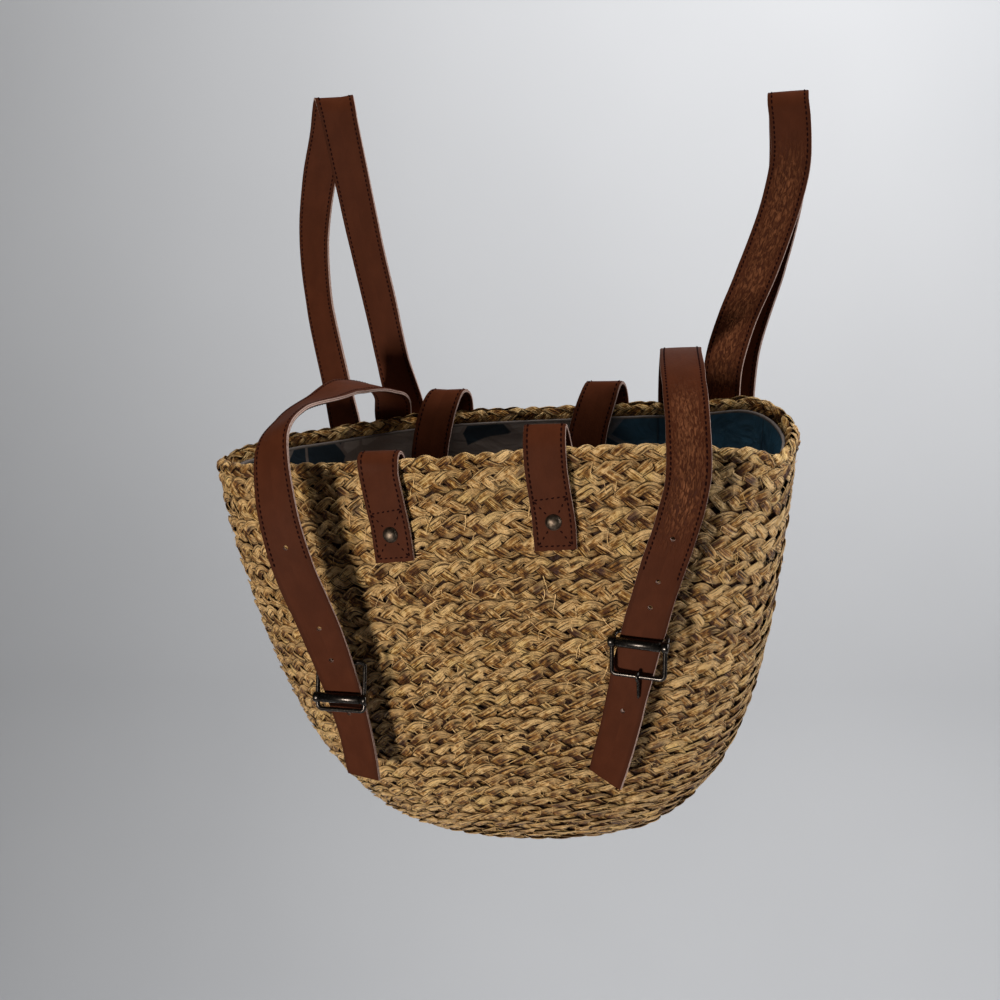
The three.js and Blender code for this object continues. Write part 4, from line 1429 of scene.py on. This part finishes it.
class MetalSettings(bpy.types.PropertyGroup):
    roughness: factor_of("Roughness", "Roughness of the plating", 0.2)
    colour: colour_of("Plating", "Dark plating", (0.060, 0.052, 0.047))
    rivet: colour_of("Rivet", "Rivets' antique plating", (0.200, 0.152, 0.112))
    rivet_dark: colour_of("Rivet shade", "Darker patches of the rivets", (0.085, 0.062, 0.046))
    rubbed: colour_of("Rubbed", "Paler rubbed spots", (0.250, 0.215, 0.180))


class StageSettings(bpy.types.PropertyGroup):
    azimuth: angle_of("Azimuth", "Camera's turn to the right", 13)
    pitch: angle_of("Pitch", "Camera's look down", 15.4)
    roll: angle_of("Roll", "Camera's roll", 4.5)
    lens: FloatProperty(name="Lens", description="Focal length in millimetres", default=52.2, unit="CAMERA")
    floor: length_of("Floor", "Floor's drop below the hanging point", 2.6)
    backdrop: colour_of("Backdrop", "Backdrop and floor", (0.62, 0.63, 0.65))
    backdrop_shade: colour_of("Backdrop shade", "Faint unevenness of the backdrop", (0.56, 0.57, 0.59))
    key: power_of("Key light", "Power of the light from the left and front", 33.5)
    fill: power_of("Fill light", "Power of the wide light from the right", 30.0)
    top: power_of("Top light", "Power of the soft light from above", 34.0)
    backdrop_light: power_of("Backdrop light", "Power of the light on the backdrop alone", 116.0)
    world: factor_of("World", "Strength of the light from all round", 0.03)


SETTINGS = {
    "bag_straw": StrawSettings,
    "bag_leather": LeatherSettings,
    "bag_lining": LiningSettings,
    "bag_metal": MetalSettings,
    "bag_stage": StageSettings,
}


def material(name, maker, settings):
    """The material of that name, made the first time that it is asked for."""
    return bpy.data.materials.get(name) or maker(settings)


# Straw wall: its pieces, the rows from which the plait gets lower and is lowest, and the backing's
# depth, size of grid and painted shade.
BANDS = 5
ROWS_GET_LOWER = 4
ROWS_ARE_LOW = 11
BACKING_DEPTH = 3.4
BACKING_GRID = (50, 120)
BACKING_SHADE = 0.16

# Rim: angles round its bead between which the plait lies, rows of plait, and how much smaller its core is.
RIM_ANGLES = (240, -80)
RIM_ROWS = 2
CORE_SWELL = -2.6

# Values that the straw's look reads at the points: tone, painted shade (depth, 1 where unshaded) and
# painted highlight (edge).
STRAW_VALUES = ("tone", "depth", "edge")


# Operators

class BAG_OT_straw_wall(bpy.types.Operator):
    """Lay rows of three-strand plait round the straw body, over a backing wall in painted shade"""

    bl_idname = "bag.straw_wall"
    bl_label = "Straw wall"

    def execute(self, context):
        straw = context.scene.bag_straw
        rng = np.random.default_rng(straw.seed)
        skin = wall_skin()
        look = material("plaited_straw", straw_look, straw)
        tall, low = straw.tall_row, straw.low_row
        heights = np.interp(np.arange(straw.rows), (0, ROWS_GET_LOWER, ROWS_ARE_LOW), (tall, tall, low))
        heights = heights / heights.sum()
        centres = np.cumsum(heights) - heights / 2
        for band in range(BANDS):
            shell = Shell(*STRAW_VALUES)
            for row in range(straw.rows * band // BANDS, straw.rows * (band + 1) // BANDS):
                plait_row(shell, skin, centres[row], heights[row], straw, rng)
            crisp(shell.build(f"straw_band_{band + 1}", look, "straw"), STRAW_CREASE)
        backing = Shell(*STRAW_VALUES)
        rows, columns = BACKING_GRID
        down, turn = np.linspace(0, 0.995, rows), np.arange(columns) / columns
        points, normals = skin.at(down[:, None], turn[None, :])
        outer, inner = points - BACKING_DEPTH * normals, points - (STRAW_WALL - 0.2) * normals
        wall = np.concatenate([outer[::-1], inner])
        # The backing is dark with painted shade: it stands for the shade seen through gaps in the plait.
        backing.add(wall, wrap=(False, True), flip=True, depth=BACKING_SHADE)
        backing.build("straw_backing", look, "straw", "basket")
        fibres = Shell(*STRAW_VALUES)
        loose_fibres(fibres, skin, straw, rng)
        fibres.build("straw_loose_fibres", look, "straw")
        return {"FINISHED"}


class BAG_OT_rim(bpy.types.Operator):
    """Lay two rows of thicker plait over the rim's bead"""

    bl_idname = "bag.rim"
    bl_label = "Rim"

    def execute(self, context):
        straw = context.scene.bag_straw
        rng = np.random.default_rng(straw.seed + 1)
        look = material("plaited_straw", straw_look, straw)
        shell = Shell(*STRAW_VALUES)
        skin = bead_skin(*RIM_ANGLES)
        for row in range(RIM_ROWS):
            plait_row(shell, skin, (row + 0.5) / RIM_ROWS, 1 / RIM_ROWS, straw, rng)
        # The bead's core under the plait takes the same painted shade as the backing.
        core = bead_skin(360, 0, 25, CORE_SWELL).points[:-1, ::4]
        shell.add(core, wrap=(True, True), depth=BACKING_SHADE)
        crisp(shell.build("straw_rim", look, "straw", "rim_braid"), STRAW_CREASE)
        return {"FINISHED"}


class BAG_OT_lining(bpy.types.Operator):
    """Make the padded lining with its slack folds and rolled hem"""

    bl_idname = "bag.lining"
    bl_label = "Lining"

    def execute(self, context):
        lining = context.scene.bag_lining
        shell = Shell("hem")
        lining_shell(shell, wall_skin(), lining, np.random.default_rng(LINING_SEED))
        look = material("printed_lining", lining_look, lining)
        piece = shell.build("lining_cloth", look, "lining", "lining")
        return {"FINISHED"}


def leather_strap(name, strap, grained, node, leather, seed):
    """One strap's leather as a piece of its own."""
    shell = Shell("raw", "grain", "bend", "margin")
    strap_ribbon(shell, strap, grained, np.random.default_rng(seed))
    return shell.build(name, material("strap_leather", leather_look, leather), "leather", node)


def sew(name, runs, leather):
    """The stitches of several runs on both faces of their straps, joined in one piece."""
    shell = Shell()
    for strap, lines in runs:
        for path in lines:
            for face in (1, -1):
                stitch_run(shell, strap, path, face, leather)
    shell.build(name, material("thread", thread_look, leather), "leather")


class BAG_OT_shoulder_straps(bpy.types.Operator):
    """Make the two shoulder straps with their edge stitching"""

    bl_idname = "bag.shoulder_straps"
    bl_label = "Shoulder straps"

    def execute(self, context):
        leather = context.scene.bag_leather
        runs = []
        for k, (side, rows) in enumerate((("left", SHOULDER_LEFT), ("right", SHOULDER_RIGHT))):
            strap = Strap(rows, SHOULDER_WIDTH)
            node, name = f"shoulder_strap_{side}", f"leather_shoulder_{side}"
            leather_strap(name, strap, SHOULDER_GRAIN[side], node, leather, SHOULDER_SEED + k)
            lines = edge_lines(strap, EDGE_START, strap.length - EDGE_START)
            lines += box_lines(strap, STITCH_INSET, END_BOX, False)
            lines += box_lines(strap, strap.length - END_BOX, strap.length - STITCH_INSET, False)
            runs.append((strap, lines))
        sew("stitches_shoulder", runs, leather)
        return {"FINISHED"}


class BAG_OT_handles(bpy.types.Operator):
    """Make the two carry handles with their stitched tabs and rivets"""

    bl_idname = "bag.handles"
    bl_label = "Handles"

    def execute(self, context):
        leather, metal = context.scene.bag_leather, context.scene.bag_metal
        runs = []
        for k, (side, rows) in enumerate((("front", HANDLE_FRONT), ("back", HANDLE_BACK))):
            strap = Strap(rows, STRAP_WIDTH)
            node, name = f"handle_{side}", f"leather_handle_{side}"
            leather_strap(name, strap, NO_GRAIN, node, leather, HANDLE_SEED + k)
            lines = edge_lines(strap, STITCH_INSET, strap.length - STITCH_INSET)
            ends = {"left": RIVET_FROM_END, "right": strap.length - RIVET_FROM_END}
            for end, distance in ends.items():
                lines += box_lines(strap, distance - TAB_BOX_HALF, distance + TAB_BOX_HALF, True)
                shell = Shell()
                rivet(shell, Seat(strap, distance, HALF_STRAP))
                node = f"rivet_{side}_{end}"
                shell.build(f"cap_{node}", material("antique_metal", rivet_look, metal), "metal", node)
            runs.append((strap, lines))
        sew("stitches_handles", runs, leather)
        return {"FINISHED"}


class BAG_OT_closing_straps(bpy.types.Operator):
    """Make the two closing straps, punched and stitched, with their buckles"""

    bl_idname = "bag.closing_straps"
    bl_label = "Closing straps and buckles"

    def execute(self, context):
        leather, metal = context.scene.bag_leather, context.scene.bag_metal
        raw_look = material("raw_leather", raw_leather_look, leather)
        gunmetal = material("gunmetal", metal_look, metal)
        runs = []
        for k, (side, (rows, from_end, turn, holes, plain)) in enumerate(CLOSING.items()):
            strap = Strap(rows, STRAP_WIDTH)
            roller = strap.length - from_end
            node, name = f"closing_strap_{side}", f"leather_closing_{side}"
            piece = leather_strap(name, strap, CLOSING_GRAIN[side], node, leather, CLOSING_SEED + k)
            punch(piece, strap, [roller + hole for hole in holes], raw_look)
            lines = edge_lines(strap, EDGE_START, roller - plain)
            lines += box_lines(strap, STITCH_INSET, END_BOX, False)
            runs.append((strap, lines))
            seat = Seat(strap, roller, 0.0, turn)
            for part, make in (("frame", buckle_frame), ("prong", buckle_prong)):
                shell = Shell()
                make(shell, seat, BUCKLES[side])
                shell.build(f"metal_{part}_{side}", gunmetal, "metal", f"buckle_{part}_{side}")
        sew("stitches_closing", runs, leather)
        return {"FINISHED"}


# Stage, in metres: the backdrop's curve and ends, and the camera's place and its sensor in millimetres.
BACKDROP_CURVE = 0.8
BACKDROP_BACK = 3.2
BACKDROP_FRONT = -6.0
BACKDROP_HEIGHT = 4.5
BACKDROP_HALF_WIDTH = 5
CAMERA_PLACE = (0.1700, -0.9892, 0.0023)
CAMERA_SENSOR = 36

# Lights: place, size, colour and what each one looks at.
BAG_MIDDLE = Vector((-0.03, -0.10, -0.30))
BACKDROP_MIDDLE = Vector((0.3, 3.0, -0.6))
WHITE = (1.0, 1.0, 1.0)
LAMP_WHITE = (1.0, 0.94, 0.86)
LIGHTS = {
    "key": ((-0.72, -2.24, -0.46), 0.34, LAMP_WHITE, BAG_MIDDLE),
    "fill": ((2.0, 0.3, 0.0), 1.4, WHITE, BAG_MIDDLE),
    "top": ((0.3, 0.3, 1.6), 1.5, WHITE, BAG_MIDDLE),
    "backdrop_light": ((0.5, 0.5, 1.6), 1.5, WHITE, BACKDROP_MIDDLE),
}
WORLD_COLOUR = (1.0, 0.98, 0.96, 1.0)


class BAG_OT_stage(bpy.types.Operator):
    """Set up the pale backdrop, the soft lights and the camera"""

    bl_idname = "bag.stage"
    bl_label = "Stage"

    def execute(self, context):
        stage = context.scene.bag_stage
        self.sweep(stage)
        self.camera(context, stage)
        self.lights(context, stage)
        context.scene.view_settings.view_transform = "Standard"
        return {"FINISHED"}

    def sweep(self, stage):
        """Floor and backdrop in one: a floor line, a quarter circle and an upright, carried along X."""
        bend = np.linspace(0, pi / 2, 13)
        radius, back = BACKDROP_CURVE, BACKDROP_BACK
        y = np.concatenate([[BACKDROP_FRONT], back - radius + radius * np.sin(bend), [back]])
        z = np.concatenate([[0.0], radius - radius * np.cos(bend), [BACKDROP_HEIGHT]]) - stage.floor
        x = np.linspace(-BACKDROP_HALF_WIDTH, BACKDROP_HALF_WIDTH, 9)
        grid = np.stack(np.broadcast_arrays(x[None, :], y[:, None], z[:, None]), -1)
        mesh = bpy.data.meshes.new("backdrop")
        rows, columns = grid.shape[:2]
        corner = (np.arange(rows - 1)[:, None] * columns + np.arange(columns - 1)).reshape(-1, 1)
        faces = corner + (0, 1, columns + 1, columns)
        mesh.from_pydata(grid.reshape(-1, 3).tolist(), [], faces.tolist())
        mesh.polygons.foreach_set("use_smooth", np.ones(len(mesh.polygons), dtype=bool))
        mesh.materials.append(material("backdrop", backdrop_look, stage))
        piece = bpy.data.objects.new("backdrop", mesh)
        bpy.context.scene.collection.objects.link(piece)

    def camera(self, context, stage):
        """The camera's axes: turned to the right, looking down and rolled."""
        a, p, r = stage.azimuth, stage.pitch, stage.roll
        ahead = Vector((-sin(a) * cos(p), cos(a) * cos(p), -sin(p)))
        level = Vector((cos(a), sin(a), 0))
        up = level.cross(ahead)
        right = level * cos(r) - up * sin(r)
        up = level * sin(r) + up * cos(r)
        data = bpy.data.cameras.new("camera")
        data.lens = stage.lens
        data.sensor_width = CAMERA_SENSOR
        camera = bpy.data.objects.new("camera", data)
        turn = Matrix((right, up, -ahead)).transposed().to_4x4()
        camera.matrix_world = Matrix.Translation(CAMERA_PLACE) @ turn
        context.scene.collection.objects.link(camera)
        context.scene.camera = camera

    def lights(self, context, stage):
        """A small key light from the left and front, a wide light from the right, a soft one from above
        that shows in no reflection, and a faint world.

        The backdrop has a light of its own, which lights nothing else.
        """
        for name, (place, size, colour, aim) in LIGHTS.items():
            data = bpy.data.lights.new(name, "AREA")
            data.size = size
            data.energy = getattr(stage, name)
            data.color = colour
            light = bpy.data.objects.new(name, data)
            light.location = place
            light.rotation_mode = "QUATERNION"
            light.rotation_quaternion = (aim - Vector(place)).to_track_quat("-Z", "Y")
            light.visible_glossy = name != "top"
            context.scene.collection.objects.link(light)
        lit = bpy.data.collections.new("lit_by_backdrop_light")
        lit.objects.link(bpy.data.objects["backdrop"])
        bpy.data.objects["backdrop_light"].light_linking.receiver_collection = lit
        world = bpy.data.worlds.new("studio")
        world.use_nodes = True
        surface = world.node_tree.nodes["Background"]
        surface.inputs["Color"].default_value = WORLD_COLOUR
        surface.inputs["Strength"].default_value = stage.world
        context.scene.world = world


OPERATORS = (
    BAG_OT_straw_wall,
    BAG_OT_rim,
    BAG_OT_lining,
    BAG_OT_shoulder_straps,
    BAG_OT_handles,
    BAG_OT_closing_straps,
    BAG_OT_stage,
)


class BAG_PT_pieces(bpy.types.Panel):
    """Lists the bag's pieces and their settings"""

    bl_idname = "BAG_PT_pieces"
    bl_label = "Straw Cooler Backpack"
    bl_space_type = "VIEW_3D"
    bl_region_type = "UI"
    bl_category = "Bag"

    def draw(self, context):
        for operator in OPERATORS:
            self.layout.operator(operator.bl_idname)
        for key, group in SETTINGS.items():
            box = self.layout.box()
            for name in group.__annotations__:
                box.prop(getattr(context.scene, key), name)


CLASSES = (*SETTINGS.values(), *OPERATORS, BAG_PT_pieces)


def register():
    for cls in CLASSES:
        bpy.utils.register_class(cls)
    for key, group in SETTINGS.items():
        setattr(bpy.types.Scene, key, PointerProperty(type=group))


def unregister():
    for key in SETTINGS:
        delattr(bpy.types.Scene, key)
    for cls in reversed(CLASSES):
        bpy.utils.unregister_class(cls)


def main():
    register()
    bpy.ops.bag.straw_wall()
    bpy.ops.bag.rim()
    bpy.ops.bag.lining()
    bpy.ops.bag.shoulder_straps()
    bpy.ops.bag.handles()
    bpy.ops.bag.closing_straps()
    bpy.ops.bag.stage()
    bpy.context.view_layer.update()


if __name__ == "__main__":
    main()
